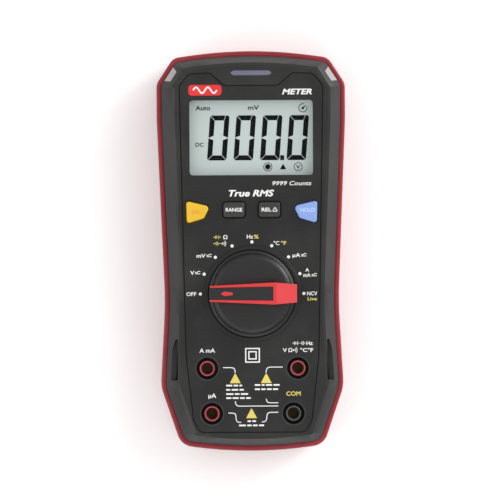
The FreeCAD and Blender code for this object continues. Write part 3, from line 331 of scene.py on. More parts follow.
def make_moulded_group():
    """Moulded plastic: fine pebbled texture with faint flow marks in colour and gloss."""
    group, entry, leave = node_group(
        "Moulded surface",
        [("Vector", "NodeSocketVector", None),
         ("Colour", "NodeSocketColor", (0.1, 0.1, 0.1, 1)),
         ("Pebble size", "NodeSocketFloat", 0.0005),
         ("Roughness", "NodeSocketFloat", 0.5),
         ("Mottle", "NodeSocketFloat", 0.08)],
        [("Colour", "NodeSocketColor"), ("Roughness", "NodeSocketFloat"),
         ("Height", "NodeSocketFloat")])
    nodes, links = group.nodes, group.links
    scale = nodes.new("ShaderNodeMath")
    scale.operation = "DIVIDE"
    scale.inputs[0].default_value = 1.0
    links.new(entry.outputs["Pebble size"], scale.inputs[1])
    pebble = nodes.new("ShaderNodeTexVoronoi")
    pebble.feature = "SMOOTH_F1"
    pebble.inputs["Smoothness"].default_value = 0.6
    grain = nodes.new("ShaderNodeTexNoise")
    grain.inputs["Detail"].default_value = 3.0
    for texture in (pebble, grain):
        links.new(entry.outputs["Vector"], texture.inputs["Vector"])
        links.new(scale.outputs[0], texture.inputs["Scale"])
    height = nodes.new("ShaderNodeMath")
    height.operation = "MULTIPLY_ADD"
    height.inputs[1].default_value = 0.6
    links.new(grain.outputs["Fac"], height.inputs[0])
    links.new(pebble.outputs["Distance"], height.inputs[2])
    links.new(height.outputs[0], leave.inputs["Height"])
    flow = nodes.new("ShaderNodeTexNoise")
    flow.inputs["Scale"].default_value = 60.0
    flow.inputs["Detail"].default_value = 4.0
    flow.inputs["Distortion"].default_value = 0.6
    links.new(entry.outputs["Vector"], flow.inputs["Vector"])
    centred = nodes.new("ShaderNodeMath")
    centred.operation = "SUBTRACT"
    centred.inputs[1].default_value = 0.5
    links.new(flow.outputs["Fac"], centred.inputs[0])
    amount = nodes.new("ShaderNodeMath")
    amount.operation = "MULTIPLY"
    links.new(centred.outputs[0], amount.inputs[0])
    links.new(entry.outputs["Mottle"], amount.inputs[1])
    lift = nodes.new("ShaderNodeMath")
    lift.operation = "MULTIPLY_ADD"
    lift.inputs[1].default_value = 2.5
    lift.inputs[2].default_value = 1.0
    links.new(amount.outputs[0], lift.inputs[0])
    tint = nodes.new("ShaderNodeVectorMath")
    tint.operation = "SCALE"
    links.new(entry.outputs["Colour"], tint.inputs[0])
    links.new(lift.outputs[0], tint.inputs["Scale"])
    links.new(tint.outputs[0], leave.inputs["Colour"])
    gloss = nodes.new("ShaderNodeMath")
    gloss.operation = "MULTIPLY_ADD"
    gloss.inputs[1].default_value = 1.2
    links.new(amount.outputs[0], gloss.inputs[0])
    links.new(entry.outputs["Roughness"], gloss.inputs[2])
    links.new(gloss.outputs[0], leave.inputs["Roughness"])
    return group


def make_dust_group():
    """Handling: faint pale dust in soft patches, duller where it lies."""
    group, entry, leave = node_group(
        "Handling",
        [("Vector", "NodeSocketVector", None),
         ("Colour", "NodeSocketColor", (0.1, 0.1, 0.1, 1)),
         ("Roughness", "NodeSocketFloat", 0.5),
         ("Dust", "NodeSocketFloat", 0.04)],
        [("Colour", "NodeSocketColor"), ("Roughness", "NodeSocketFloat")])
    nodes, links = group.nodes, group.links
    patches = nodes.new("ShaderNodeTexNoise")
    patches.inputs["Scale"].default_value = 28.0
    patches.inputs["Detail"].default_value = 6.0
    patches.inputs["Roughness"].default_value = 0.65
    links.new(entry.outputs["Vector"], patches.inputs["Vector"])
    ramp = nodes.new("ShaderNodeMapRange")
    ramp.inputs["From Min"].default_value = 0.45
    ramp.inputs["From Max"].default_value = 0.75
    links.new(patches.outputs["Fac"], ramp.inputs["Value"])
    share = nodes.new("ShaderNodeMath")
    share.operation = "MULTIPLY"
    links.new(ramp.outputs["Result"], share.inputs[0])
    links.new(entry.outputs["Dust"], share.inputs[1])
    mix = nodes.new("ShaderNodeMix")
    mix.data_type = "RGBA"
    mix.inputs["B"].default_value = (0.42, 0.41, 0.39, 1)
    links.new(share.outputs[0], mix.inputs["Factor"])
    links.new(entry.outputs["Colour"], mix.inputs["A"])
    links.new(mix.outputs["Result"], leave.inputs["Colour"])
    rub = nodes.new("ShaderNodeMath")
    rub.operation = "MULTIPLY_ADD"
    rub.inputs[1].default_value = 1.5
    links.new(share.outputs[0], rub.inputs[0])
    links.new(entry.outputs["Roughness"], rub.inputs[2])
    links.new(rub.outputs[0], leave.inputs["Roughness"])
    return group


def group_of(name, maker):
    """A node group by name, made once."""
    return bpy.data.node_groups.get(name) or maker()


# ---- materials ------------------------------------------------------------------------------

def plastic(name, base, roughness=0.5, pebble=0.45 * MM, relief=0.02 * MM, mottle=0.08,
            dust=0.03, specular=0.5, coat=0.0):
    """A moulded plastic, made once under its name."""
    known = bpy.data.materials.get(name)
    if known:
        return known
    material = bpy.data.materials.new(name)
    material.use_nodes = True
    material.diffuse_color = (*base, 1)
    nodes, links = material.node_tree.nodes, material.node_tree.links
    shader = nodes["Principled BSDF"]
    shader.inputs["Specular IOR Level"].default_value = specular
    shader.inputs["Coat Weight"].default_value = coat
    shader.inputs["Coat Roughness"].default_value = 0.15
    place = nodes.new("ShaderNodeTexCoord")
    moulded = nodes.new("ShaderNodeGroup")
    moulded.node_tree = group_of("Moulded surface", make_moulded_group)
    moulded.inputs["Colour"].default_value = (*base, 1)
    moulded.inputs["Pebble size"].default_value = pebble
    moulded.inputs["Roughness"].default_value = roughness
    moulded.inputs["Mottle"].default_value = mottle
    handled = nodes.new("ShaderNodeGroup")
    handled.node_tree = group_of("Handling", make_dust_group)
    handled.inputs["Dust"].default_value = dust
    bump = nodes.new("ShaderNodeBump")
    bump.inputs["Strength"].default_value = 0.6
    bump.inputs["Distance"].default_value = relief
    links.new(place.outputs["Object"], moulded.inputs["Vector"])
    links.new(place.outputs["Object"], handled.inputs["Vector"])
    links.new(moulded.outputs["Colour"], handled.inputs["Colour"])
    links.new(moulded.outputs["Roughness"], handled.inputs["Roughness"])
    links.new(moulded.outputs["Height"], bump.inputs["Height"])
    links.new(handled.outputs["Colour"], shader.inputs["Base Color"])
    links.new(handled.outputs["Roughness"], shader.inputs["Roughness"])
    links.new(bump.outputs["Normal"], shader.inputs["Normal"])
    return material


def metal(name, base, roughness=0.25):
    """Drawn or plated metal, a moulded surface's grain with full metallic shading."""
    material = plastic(name, base, roughness, pebble=0.25 * MM, relief=0.004 * MM, dust=0.01)
    material.node_tree.nodes["Principled BSDF"].inputs["Metallic"].default_value = 1.0
    return material


def clear(name, base, alpha, roughness=0.04):
    """Clear acrylic: thin to the eye, with sharp reflections and faint handling marks."""
    material = plastic(name, base, roughness, relief=0.0, mottle=0.02, dust=0.02)
    shader = material.node_tree.nodes["Principled BSDF"]
    shader.inputs["Alpha"].default_value = alpha
    material.blend_method = "BLEND"
    return material


def ink(name, base):
    """Screen-printed ink: flat, slightly worn and finely speckled."""
    return plastic(name, base, 0.6, pebble=0.2 * MM, relief=0.004 * MM, mottle=0.10, dust=0.05)


# ---- operators ------------------------------------------------------------------------------

class BuildCasing(bpy.types.Operator):
    """Finish the rear case, the front cover and the windows in its corners"""
    bl_idname = "meter.casing"
    bl_label = "Casing"

    def execute(self, context):
        colours, sizes = settings()
        red = plastic("Red casing", colours.casing, 0.42, pebble=0.5 * MM, relief=0.02 * MM,
                      specular=0.4)
        black = plastic("Black cover", colours.cover, 0.5, pebble=0.45 * MM, relief=0.03 * MM,
                        specular=0.34)
        softened("rear_case", red, sizes.edge, flat=0.01)
        softened("front_cover", black, sizes.edge)
        window = plastic("Corner window", (0.26, 0.245, 0.235), 0.12, relief=0.0, coat=0.5)
        for side in ("left", "right"):
            paint("corner_window_" + side, window)
        bar = plastic("Light bar", (0.115, 0.11, 0.165), 0.25, relief=0.0, coat=0.3)
        paint("light_bar", bar)
        return {"FINISHED"}


class BuildFacePanel(bpy.types.Operator):
    """Finish the face panel"""
    bl_idname = "meter.face_panel"
    bl_label = "Face panel"

    def execute(self, context):
        colours, sizes = settings()
        material = plastic("Face panel", colours.panel, 0.48, pebble=0.35 * MM,
                           relief=0.015 * MM, specular=0.3)
        softened("face_panel", material, sizes.edge / 2)
        return {"FINISHED"}


def digit_outlines(x, y, height, width, thick):
    """The six lit bars of a slanted nought.

    Bars are drawn upright from the lower left corner, then lean with height. Their outer
    corners are round, they meet in mitres at three corners and in a steep cut at the fourth,
    and at mid height the upright bars end in slants that face each other.
    """
    gap, corner, slant = 0.11 * MM, 0.45 * thick, 0.40 * thick
    mitre = gap * 1.5
    mid = height / 2
    near, far = 0.21 * corner, 0.38 * corner
    lower = np.array([(near, far), (thick, thick + mitre), (thick, mid - gap - slant),
                      (0, mid - gap), (0, corner)])
    across = np.array([width, 0])
    flip_x, flip_y = np.array([-1, 1]), np.array([1, -1])
    top = np.array([0, height])
    angle = np.radians([0, 30, 60, 90])
    arc = np.column_stack([width - corner + corner * np.cos(angle),
                           height - corner + corner * np.sin(angle)])
    upper_right = np.vstack([[(width - thick, mid + gap + slant), (width, mid + gap)], arc,
                             [(width - 0.7 * thick, height), (width - thick, height - thick)]])
    bottom = np.array([(far, near), (corner, 0), (width - corner, 0), (width - far, near),
                       (width - thick - mitre, thick), (thick + mitre, thick)])
    above = np.array([(thick + mitre, height - thick),
                      (width - thick - 2 * gap, height - thick),
                      (width - 0.7 * thick - 2 * gap, height), (corner, height),
                      (far, height - near)])
    bars = [lower, (lower * flip_x + across)[::-1], (lower * flip_y + top)[::-1],
            upper_right, bottom, above]
    return [bar + np.column_stack([0.075 * bar[:, 1], np.zeros(len(bar))]) + np.array([x, y])
            for bar in bars]


class BuildDisplay(bpy.types.Operator):
    """Liquid crystal glass with its lit digits, signs and words, under the clear window"""
    bl_idname = "meter.display"
    bl_label = "Display"

    def execute(self, context):
        colours, sizes = settings()
        glass = plastic("Liquid crystal", colours.display, 0.22, pebble=0.3 * MM, relief=0.0,
                        mottle=0.03, dust=0.0)
        shader = glass.node_tree.nodes["Principled BSDF"]
        shader.inputs["Emission Color"].default_value = (*colours.display, 1)
        shader.inputs["Emission Strength"].default_value = 0.22     # painted light: a faint glow that lifts the shade the window's recess casts on the display, which has no lamp
        dark = plastic("Lit segment", colours.segment, 0.8, pebble=0.3 * MM, relief=0.0,
                       mottle=0.05, dust=0.0, specular=0.05)
        paint("lcd_panel", glass)
        paint("display_window", clear("Clear window", (0.04, 0.045, 0.045), 0.03))
        cx, cy = WINDOW.x, WINDOW.y
        z_low, z_high = LCD_Z - PRINT_SINK, LCD_Z + sizes.print_height
        size = (sizes.digit_height, sizes.digit_width, sizes.digit_stroke)
        left, low = cx - 20.9 * MM, cy - 10.6 * MM
        digits = []
        for i in range(4):
            digits += digit_outlines(left + i * sizes.digit_pitch, low, *size)
        point_x = left + 2.84 * sizes.digit_pitch
        digits.append(rounded(point_x - 0.95 * MM, point_x + 0.95 * MM, low, low + 2.3 * MM,
                              0.2 * MM))
        link(slabs(digits, z_low, z_high), "display_digits", dark, "meter")

        sign_y = cy - 13.75 * MM
        signs = ring(cx + 7.8 * MM, sign_y, 1.95 * MM, 0.32 * MM)
        signs.append(circle(cx + 7.8 * MM, sign_y, 1.3 * MM))
        signs += ring(cx + 22.1 * MM, sign_y, 1.95 * MM, 0.32 * MM)
        signs.append(np.array([(-1.5, -1.2), (1.5, -1.2), (0, 1.4)]) * MM
                     + np.array([cx + 15.0 * MM, sign_y]))
        clock_x, clock_y = cx + 24.5 * MM, cy + 14.0 * MM
        angle = np.radians(np.linspace(75, 385, 26))
        arc = np.column_stack([clock_x + 1.95 * MM * np.cos(angle),
                               clock_y + 1.95 * MM * np.sin(angle)])
        signs.append(stroke(arc, 0.35 * MM))
        signs.append(np.array([(-0.9, -0.1), (0.1, -0.9), (1.5, 1.5)]) * MM
                     + np.array([clock_x, clock_y]))
        words = lettering([
            ("Auto", cx - 26.2 * MM, cx - 19.2 * MM, cy + 14.2 * MM, 2.1 * MM, 0.030, 0),
            ("mV", cx - 1.4 * MM, cx + 3.8 * MM, cy + 14.3 * MM, 2.1 * MM, 0.030, 0),
            ("DC", cx - 26.3 * MM, cx - 22.4 * MM, cy - 3.15 * MM, 1.8 * MM, 0.030, 0),
            ("V", cx + 21.1 * MM, cx + 23.1 * MM, sign_y, 1.9 * MM, 0.030, 0),
        ], z_low, z_high)
        link(joined([slabs(signs, z_low, z_high), words], "signs"), "display_signs", dark,
             "meter")
        return {"FINISHED"}


class BuildKeys(bpy.types.Operator):
    """Finish the four keys and print their legends"""
    bl_idname = "meter.keys"
    bl_label = "Keys"

    def execute(self, context):
        colours, sizes = settings()
        finishes = {
            "key_select": ("Yellow key", colours.select_key),
            "key_hold": ("Blue key", colours.hold_key),
            "key_range": ("Black keys", colours.middle_keys),
            "key_relative": ("Black keys", colours.middle_keys),
        }
        for node, (name, base) in finishes.items():
            paint(node, plastic(name, base, 0.38, pebble=0.3 * MM, relief=0.008 * MM))
        z_low, z_high = KEY_TOP_Z - PRINT_SINK, KEY_TOP_Z + sizes.print_height
        white = ink("White print", colours.white_print)
        orange = ink("Orange print", (0.72, 0.25, 0.02))
        pale = ink("Pale blue print", (0.42, 0.56, 0.90))
        legends = {
            "key_range": (white, [("RANGE", -3.9, 3.9, 0.0, 1.7)]),
            "key_relative": (white, [("REL", -3.7, 0.9, 0.0, 1.7)]),
            "key_hold": (pale, [("HOLD", -2.9, 4.1, 0.9, 1.8)]),
            "key_select": (orange, [("SEL", -2.6, 1.6, 0.2, 1.7)]),
        }
        for node, (material, rows) in legends.items():
            centre = middle(node)
            words = lettering([(text, centre.x + low * MM, centre.x + high * MM,
                                centre.y + y * MM, h * MM, 0.03, 0)
                               for text, low, high, y, h in rows], z_low, z_high)
            meshes = [words]
            if node == "key_relative":
                corners = np.array([(-1.1, -0.8), (1.1, -0.8), (0.0, 1.1)]) * MM
                corners += np.array([centre.x + 2.6 * MM, centre.y])
                meshes.append(slabs([stroke([corners[i], corners[i - 1]], 0.32 * MM)
                                     for i in range(3)], z_low, z_high))
            link(joined(meshes, "letters"), node + "_print", material, node)
        return {"FINISHED"}


class BuildSelector(bpy.types.Operator):
    """Finish the knob and its pointer bar"""
    bl_idname = "meter.selector"
    bl_label = "Selector"

    def execute(self, context):
        colours, sizes = settings()
        black = plastic("Knob", colours.knob, 0.40, pebble=0.4 * MM, relief=0.015 * MM,
                        specular=0.4)
        red = plastic("Pointer", colours.pointer, 0.35, pebble=0.3 * MM, relief=0.006 * MM)
        softened("knob_disc", black, sizes.edge)
        softened("knob_pointer", red, sizes.edge)
        paint("knob_insert", black)
        paint("knob_mark", red)
        return {"FINISHED"}


class BuildJacks(bpy.types.Operator):
    """Finish the four jacks and their sockets"""
    bl_idname = "meter.jacks"
    bl_label = "Jacks"

    def execute(self, context):
        colours, sizes = settings()
        red = plastic("Red jack", colours.jack, 0.33, pebble=0.3 * MM, relief=0.006 * MM)
        grey = plastic("Black jack", (0.055, 0.055, 0.055), 0.33, pebble=0.3 * MM,
                       relief=0.006 * MM)
        black = plastic("Jack shroud", (0.012, 0.011, 0.011), 0.45, pebble=0.3 * MM,
                        relief=0.006 * MM)
        # The sockets' brass is darkened to near black: painted shade for the depth of the bores,
        # not the metal's own colour.
        brass = metal("Brass in painted shade", (0.10, 0.065, 0.03), 0.35)
        softened("jack_shrouds", black, sizes.edge / 2)
        # The inside of each post's mouth gets a near-black material: painted shade for the shadow
        # down into the bore, not a colour of the plastic.
        red_mouth_shade = plastic("Red jack painted shade", (0.035, 0.003, 0.005), 0.4, relief=0.0)
        black_mouth_shade = plastic("Black jack painted shade", (0.006, 0.006, 0.006), 0.4, relief=0.0)
        for name in ("amps", "volts", "microamps", "common"):
            common = name == "common"
            piece = softened("jack_" + name, grey if common else red, sizes.edge / 2)
            self.paint_mouth_shade(piece, black_mouth_shade if common else red_mouth_shade)
            paint("socket_" + name, brass)
        return {"FINISHED"}

    def paint_mouth_shade(self, piece, material):
        """Give the post's inside, nearer its axis than its rim, a second material: near-black
        painted shade for the shadow inside the mouth.
        """
        mesh = piece.data
        mesh.materials.append(material)
        centres = np.empty(3 * len(mesh.polygons))
        mesh.polygons.foreach_get("center", centres)
        points = np.empty(3 * len(mesh.vertices))
        mesh.vertices.foreach_get("co", points)
        points, centres = points.reshape(-1, 3), centres.reshape(-1, 3)
        axis = (points.min(axis=0) + points.max(axis=0)) / 2
        away = np.hypot(*(centres - axis)[:, :2].T)
        rim = centres[:, 2] > points[:, 2].max() - 0.01 * MM
        inside = (away < JACK_MOUTH) & ~rim
        mesh.polygons.foreach_set("material_index", inside.astype(np.int32))
        mesh.update()


def dial_point(degrees, radius):
    """Point on a circle round the knob, anticlockwise from the right."""
    angle = math.radians(degrees)
    return np.array([KNOB.x + radius * math.cos(angle), KNOB.y + radius * math.sin(angle)])


class BuildPrinting(bpy.types.Operator):
    """Print the dial, the jack legends, the lines between them and the badge"""
    bl_idname = "meter.printing"
    bl_label = "Printing"

    def execute(self, context):
        colours, sizes = settings()
        white = ink("White print", colours.white_print)
        yellow = ink("Yellow print", colours.yellow_print)
        z_low, z_high = FACE_Z - PRINT_SINK, FACE_Z + sizes.print_height

        def at_knob(rows, bold=0.03, slant=0.0):
            """Rows placed from the knob's middle, in millimetres."""
            return [(text, KNOB.x + low * MM, KNOB.x + high * MM, KNOB.y + y * MM, h * MM,
                     bold, slant) for text, low, high, y, h in rows]

        white_rows = at_knob([
            ("OFF", -31.0, -26.3, 0.0, 1.75), ("V", -29.1, -27.2, 10.0, 1.75),
            ("mV", -26.1, -21.9, 18.0, 1.75), ("\u03a9", -13.5, -11.5, 26.7, 1.75),
            ("Hz", -2.4, 0.6, 26.9, 1.75), ("\u00b0C", 10.2, 12.9, 23.8, 1.75),
            ("\u00b5A", 19.1, 22.8, 18.1, 1.75), ("A", 25.1, 26.9, 11.1, 1.6),
            ("mA", 24.1, 27.6, 8.7, 1.75), ("NCV", 25.9, 30.7, 0.0, 1.75),
            ("A mA", -25.0, -17.6, -26.65, 1.9), ("V", 14.3, 16.2, -26.65, 1.75),
            ("\u03a9", 16.9, 18.8, -26.65, 1.75),
            ("\u00b0C\u00b0F", 22.5, 28.6, -26.65, 1.75),
            ("Hz", 25.4, 28.4, -23.4, 1.7), ("\u00b5A", -20.9, -17.2, -47.9, 2.0),
        ])
        white_rows += at_knob([("9999 Counts", 9.8, 28.2, 52.0, 1.95)], 0.01, 0.25)
        white_rows += at_knob([("True RMS", -10.8, 10.6, 47.4, 2.9),
                               ("METER", 14.6, 28.7, 95.2, 2.5)], 0.045, 0.25)
        yellow_rows = at_knob([
            ("%", 0.9, 3.2, 26.9, 1.75), ("\u00b0F", 13.7, 16.2, 23.8, 1.75),
            ("Live", 26.1, 30.5, -2.5, 1.5), ("COM", 15.8, 22.6, -47.1, 1.95),
        ])
        dots = [circle(*dial_point(a, sizes.dial_radius), 0.75 * MM, 20)
                for a in np.arange(0, 180.1, 22.5)]
        marks = dots + self.routes() + self.double_square() + self.fine_rows()
        for x, y in ((-25.6, 10.0), (-20.2, 18.0), (24.4, 18.1), (29.3, 8.7)):
            marks += self.current_sign(x, y)
        marks += self.sounder(-13.9, 23.7) + self.sounder(19.4, -26.65)
        marks += self.diode(18.9, 22.0, -23.4) + self.capacitor(22.6, 24.9, -23.4)
        mesh = joined([slabs(marks, z_low, z_high), lettering(white_rows, z_low, z_high)],
                      "white")
        link(mesh, "white_printing", white, "meter")

        signs = self.diode(-18.1, -14.6, 26.7) + self.capacitor(-18.2, -14.7, 23.7)
        mesh = joined([slabs(self.triangles() + signs, z_low, z_high),
                       lettering(yellow_rows, z_low, z_high)], "yellow")
        link(mesh, "yellow_printing", yellow, "meter")
        self.badge(z_low, z_high, white)
        return {"FINISHED"}

    def from_knob(self, points):
        """Points given in millimetres from the knob's middle."""
        return np.asarray(points, dtype=float) * MM + np.array([KNOB.x, KNOB.y])

    def routes(self):
        """Lines that lead from each jack to its sign, with softened corners."""
        width = 0.40 * MM
        lines = [
            [(-13.9, -34.75), (-9.9, -34.75), (-8.8, -35.1), (-8.3, -36.0), (-8.2, -37.3)],
            [(14.2, -34.6), (8.2, -34.6), (7.0, -35.0), (6.5, -35.9), (6.3, -37.3)],
            [(-8.2, -50.6), (-8.1, -51.6), (-7.6, -52.5), (-6.6, -52.9), (12.0, -52.9)],
            [(6.4, -49.5), (6.5, -50.4), (7.0, -51.1), (7.9, -51.4), (12.0, -51.4)],
            [(-11.5, -56.1), (-9.2, -56.2), (-8.3, -56.6), (-8.0, -57.4), (-7.9, -59.1),
             (-7.5, -60.1), (-6.7, -60.5), (-5.5, -60.6)],
            [(12.0, -55.9), (8.1, -55.9), (7.1, -56.3), (6.7, -57.1), (6.5, -58.9),
             (6.1, -59.9), (5.3, -60.3), (4.2, -60.4)],
        ]
        return [stroke(self.from_knob(points), width) for points in lines]

    def double_square(self):
        """Double insulation sign: one square inside another."""
        outlines = []
        for half in (3.2, 1.7):
            corners = self.from_knob([(half, -29.0 - half), (half, -29.0 + half),
                                      (-half, -29.0 + half), (-half, -29.0 - half)])
            for i in range(4):
                along = corners[i] - corners[i - 1]
                along /= np.linalg.norm(along)
                outlines.append(stroke([corners[i - 1] - along * 0.28 * MM,
                                        corners[i] - along * 0.28 * MM], 0.56 * MM))
        return outlines

    def fine_rows(self):
        """Rows of small dashes where a meter carries its ratings."""
        rows = [(-12.5, -43.2, (2.9, 2.1, 1.2)), (-12.5, -45.2, (1.9, 3.1, 2.0)),
                (-12.5, -47.2, (3.4, 2.2, 3.4)), (-12.5, -49.1, (2.4, 2.8, 2.2, 2.2)),
                (1.0, -43.0, (2.6, 1.3, 3.0, 2.8)), (1.0, -45.0, (2.4, 2.0, 2.2, 2.4)),
                (-2.5, -60.0, (1.6, 1.7)), (-6.5, -62.0, (3.2, 2.0, 2.2, 2.4))]
        outlines = []
        for x, y, dashes in rows:
            for dash in dashes:
                points = self.from_knob([(x, y), (x + dash, y)])
                outlines.append(stroke(points, 0.75 * MM))
                x += dash + 0.65
        return outlines

    def triangles(self):
        """Yellow triangles."""
        shape = np.array([(-2.55, -2.2), (2.55, -2.2), (0.2, 2.25), (-0.2, 2.25)])
        return [self.from_knob(shape + np.array(centre))
                for centre in ((-8.2, -39.9), (6.4, -39.9), (-0.6, -56.4))]

    def current_sign(self, x, y):
        """Direct and alternating current: a wave over a bar."""
        across = np.linspace(-1.2, 1.2, 17)
        wave = np.column_stack([x + across, y + 0.4 + 0.3 * np.sin(across / 1.2 * math.pi)])
        bar = [(x - 1.2, y - 0.45), (x + 1.2, y - 0.45)]
        return [stroke(self.from_knob(line), 0.32 * MM) for line in (wave, bar)]

    def diode(self, x_low, x_high, y):
        """Diode: a line, a triangle on it and a bar at the triangle's point."""
        x = (x_low + x_high) / 2
        lines = [[(x_low, y), (x_high, y)], [(x + 0.75, y - 0.85), (x + 0.75, y + 0.85)]]
        triangle = self.from_knob([(x - 0.8, y - 0.85), (x + 0.7, y), (x - 0.8, y + 0.85)])
        return [stroke(self.from_knob(line), 0.3 * MM) for line in lines] + [triangle]

    def capacitor(self, x_low, x_high, y):
        """Capacitor: two bars across a line."""
        x = (x_low + x_high) / 2
        lines = [[(x_low, y), (x - 0.35, y)], [(x - 0.35, y - 0.85), (x - 0.35, y + 0.85)],
                 [(x + 0.35, y - 0.85), (x + 0.35, y + 0.85)], [(x + 0.35, y), (x_high, y)]]
        return [stroke(self.from_knob(line), 0.3 * MM) for line in lines]

    def sounder(self, x, y):
        """Sounder: a dot and two arcs that open from it."""
        angle = np.radians(np.linspace(-50, 50, 9))
        outlines = [circle(*self.from_knob((x, y)), 0.4 * MM, 16)]
        for radius in (0.95, 1.65):
            arc = np.column_stack([x + radius * np.cos(angle), y + radius * np.sin(angle)])
            outlines.append(stroke(self.from_knob(arc), 0.28 * MM))
        return outlines

    def badge(self, z_low, z_high, white):
        """Plain red pill with a sine wave: y is the sine of x, drawn as a stroke."""
        red = plastic("Badge", (0.62, 0.012, 0.016), 0.4, pebble=0.3 * MM, relief=0.004 * MM)
        x_low, x_high = WINDOW.x - 29.5 * MM, WINDOW.x - 13.9 * MM
        y_low, y_high = WINDOW.y + 19.9 * MM, WINDOW.y + 24.9 * MM
        pill = slabs([rounded(x_low, x_high, y_low, y_high, 1.6 * MM)], z_low, z_high)
        link(pill, "badge", red, "meter")
        x = np.linspace(x_low + 2.2 * MM, x_high - 2.2 * MM, 60)
        phase = (x - x[0]) / (x[-1] - x[0]) * 4 * math.pi
        wave = np.column_stack([x, (y_low + y_high) / 2 + 1.35 * MM * np.sin(phase)])
        sign = slabs([stroke(wave, 0.75 * MM)], z_high - PRINT_SINK, z_high + 0.02 * MM)
        link(sign, "badge_wave", white, "meter")


class BuildBack(bpy.types.Operator):
    """Finish what shows on the back: stand, door, feet and screws"""
    bl_idname = "meter.back"
    bl_label = "Back"

    def execute(self, context):
        sizes = settings()[1]
        black = plastic("Stand", (0.030, 0.029, 0.028), 0.5, pebble=0.45 * MM,
                        relief=0.025 * MM)
        rubber = plastic("Foot rubber", (0.016, 0.016, 0.016), 0.75, pebble=0.3 * MM,
                         relief=0.02 * MM, dust=0.10)
        steel = metal("Steel", (0.62, 0.62, 0.62), 0.3)
        softened("tilt_stand", black, sizes.edge)
        paint("battery_door", black)
        paint("rubber_feet", rubber)
        for node in ("stand_pin", "case_screws", "door_screws"):
            paint(node, steel)
        return {"FINISHED"}


FINISHED_NAMES = {"Corner window", "Light bar", "Liquid crystal", "Clear window", "Yellow key",
                  "Blue key", "Black keys", "Knob", "Pointer", "Brass in painted shade", "Stand", "Foot rubber",
                  "Steel"}


class BuildInside(bpy.types.Operator):
    """Finish what the casing holds"""
    bl_idname = "meter.inside"
    bl_label = "Inside"

    def execute(self, context):
        record = {m["slot"]: m for m in frame["record"]["materials"]}
        slots = {s["node"]: s["material_slot"] for s in frame["record"]["subparts"]}
        done = {n for n, o in NODES.items() if o.hide_render}
        done |= {n for n, o in NODES.items()
                 if o.data.materials and o.data.materials[0].name in FINISHED_NAMES}
        for node in sorted(set(NODES) - done):
            entry = record[slots[node]]
            base = tuple(entry["base_color"][:3])
            name = "Inner " + slots[node].replace("_", " ")
            if entry["class"] in ("brass", "brushed_steel", "chrome", "aluminium"):
                paint(node, metal(name, base))
            else:
                paint(node, plastic(name, base, 0.5))
        return {"FINISHED"}


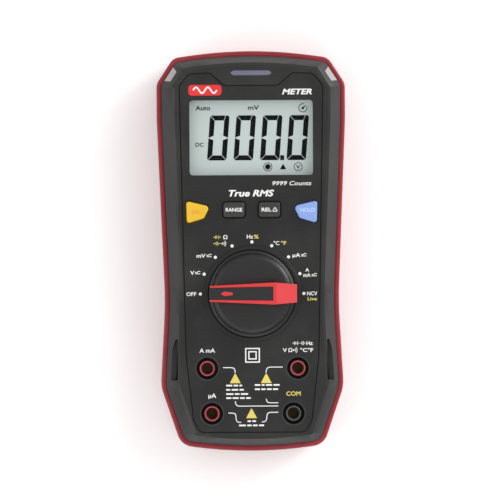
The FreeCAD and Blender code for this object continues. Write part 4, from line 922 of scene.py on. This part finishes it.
class BuildStage(bpy.types.Operator):
    """Pale floor, soft lights and the camera almost straight above the face"""
    bl_idname = "meter.stage"
    bl_label = "Stage"

    def execute(self, context):
        sizes = settings()[1]
        self.floor()
        self.lamp("key_light", (0.95, 0.55, 0.90), 1.2, 9.0)
        self.lamp("fill_light", (-0.95, -0.20, 0.90), 1.2, 6.5)
        self.lamp("foot_light", (0.10, -1.10, 0.80), 1.2, 5.0)
        self.lamp("window_light", (1.00, 0.66, 0.22), 0.4, 9.0)
        self.sky()
        lens = bpy.data.cameras.new("camera")
        lens.sensor_width = 36.0
        lens.lens = 36.0 * sizes.camera_distance / sizes.view_width
        lens.clip_end = 20.0
        camera = bpy.data.objects.new("camera", lens)
        target = Vector((-0.77 * MM, 0.39 * MM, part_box("rear_case")[1].z))
        towards = Vector((-0.014, -0.010, 1.0)).normalized()
        camera.location = target + towards * sizes.camera_distance
        across = Vector((0, 1, 0)).cross(towards).normalized()
        axes = Matrix((across, towards.cross(across), towards)).transposed()
        roll = Matrix.Rotation(math.radians(-0.33), 3, "Z")
        camera.rotation_euler = (axes @ roll).to_euler()
        context.scene.collection.objects.link(camera)
        context.scene.camera = camera
        return {"FINISHED"}

    def floor(self):
        """A large flat disc of pale board: rings of points at growing radius."""
        radius = np.array([0.0, 0.5, 1.5, 4.0])[:, None]
        angle = np.linspace(0, 2 * math.pi, 48, endpoint=False)[None, :]
        x, y = radius * np.cos(angle), radius * np.sin(angle)
        points = np.column_stack([x[1:].ravel(), y[1:].ravel(), np.zeros(x[1:].size)])
        faces = [list(range(48))]
        for band in range(2):
            index = np.arange(48)
            after = (index + 1) % 48
            inner, outer = band * 48, (band + 1) * 48
            quads = np.column_stack([inner + index, outer + index, outer + after, inner + after])
            faces += quads.tolist()
        mesh = bpy.data.meshes.new("floor")
        mesh.from_pydata(points.tolist(), [], faces)
        floor = bpy.data.objects.new("floor", mesh)
        bpy.context.scene.collection.objects.link(floor)
        mesh.materials.append(plastic("Pale board", (0.94, 0.94, 0.94), 0.9, pebble=1.5 * MM,
                                      relief=0.005 * MM, mottle=0.01, dust=0.0, specular=0.1))

    def lamp(self, name, place, size, power):
        """Square area light that looks at the meter."""
        light = bpy.data.lights.new(name, "AREA")
        light.shape = "SQUARE"
        light.size = size
        light.energy = power
        lamp = bpy.data.objects.new(name, light)
        lamp.location = place
        lamp.rotation_euler = (Vector((0, 0, 0.03)) - Vector(place)).to_track_quat(
            "-Z", "Y").to_euler()
        bpy.context.scene.collection.objects.link(lamp)

    def sky(self):
        """Even pale light from all round."""
        world = bpy.data.worlds.new("studio")
        world.use_nodes = True
        back = world.node_tree.nodes["Background"]
        back.inputs["Color"].default_value = (1.0, 1.0, 1.0, 1)
        back.inputs["Strength"].default_value = 0.74
        bpy.context.scene.world = world
        bpy.context.scene.view_settings.view_transform = "Standard"


# ---- panel and registration -----------------------------------------------------------------

STEPS = (BuildStage, BuildCasing, BuildFacePanel, BuildDisplay, BuildKeys, BuildSelector,
         BuildJacks, BuildPrinting, BuildBack, BuildInside)


class MeterPanel(bpy.types.Panel):
    """Lists the steps in the sidebar"""
    bl_idname = "METER_PT_build"
    bl_label = "Meter"
    bl_space_type = "VIEW_3D"
    bl_region_type = "UI"
    bl_category = "Meter"

    def draw(self, context):
        for step in STEPS:
            self.layout.operator(step.bl_idname)
        for settings_group in settings():
            for name in settings_group.bl_rna.properties.keys():
                if name not in {"rna_type", "name"}:
                    self.layout.prop(settings_group, name)


CLASSES = (MeterColours, MeterSizes, *STEPS, MeterPanel)


def register():
    """Add the classes and the two groups of settings."""
    for each in CLASSES:
        bpy.utils.register_class(each)
    bpy.types.Scene.meter_colours = PointerProperty(type=MeterColours)
    bpy.types.Scene.meter_sizes = PointerProperty(type=MeterSizes)


def unregister():
    """Take the classes and settings away again."""
    del bpy.types.Scene.meter_sizes
    del bpy.types.Scene.meter_colours
    for each in reversed(CLASSES):
        bpy.utils.unregister_class(each)


def main():
    """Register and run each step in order."""
    register()
    for step in STEPS:
        family, name = step.bl_idname.split(".")
        getattr(getattr(bpy.ops, family), name)()


if __name__ == "__main__":
    main()
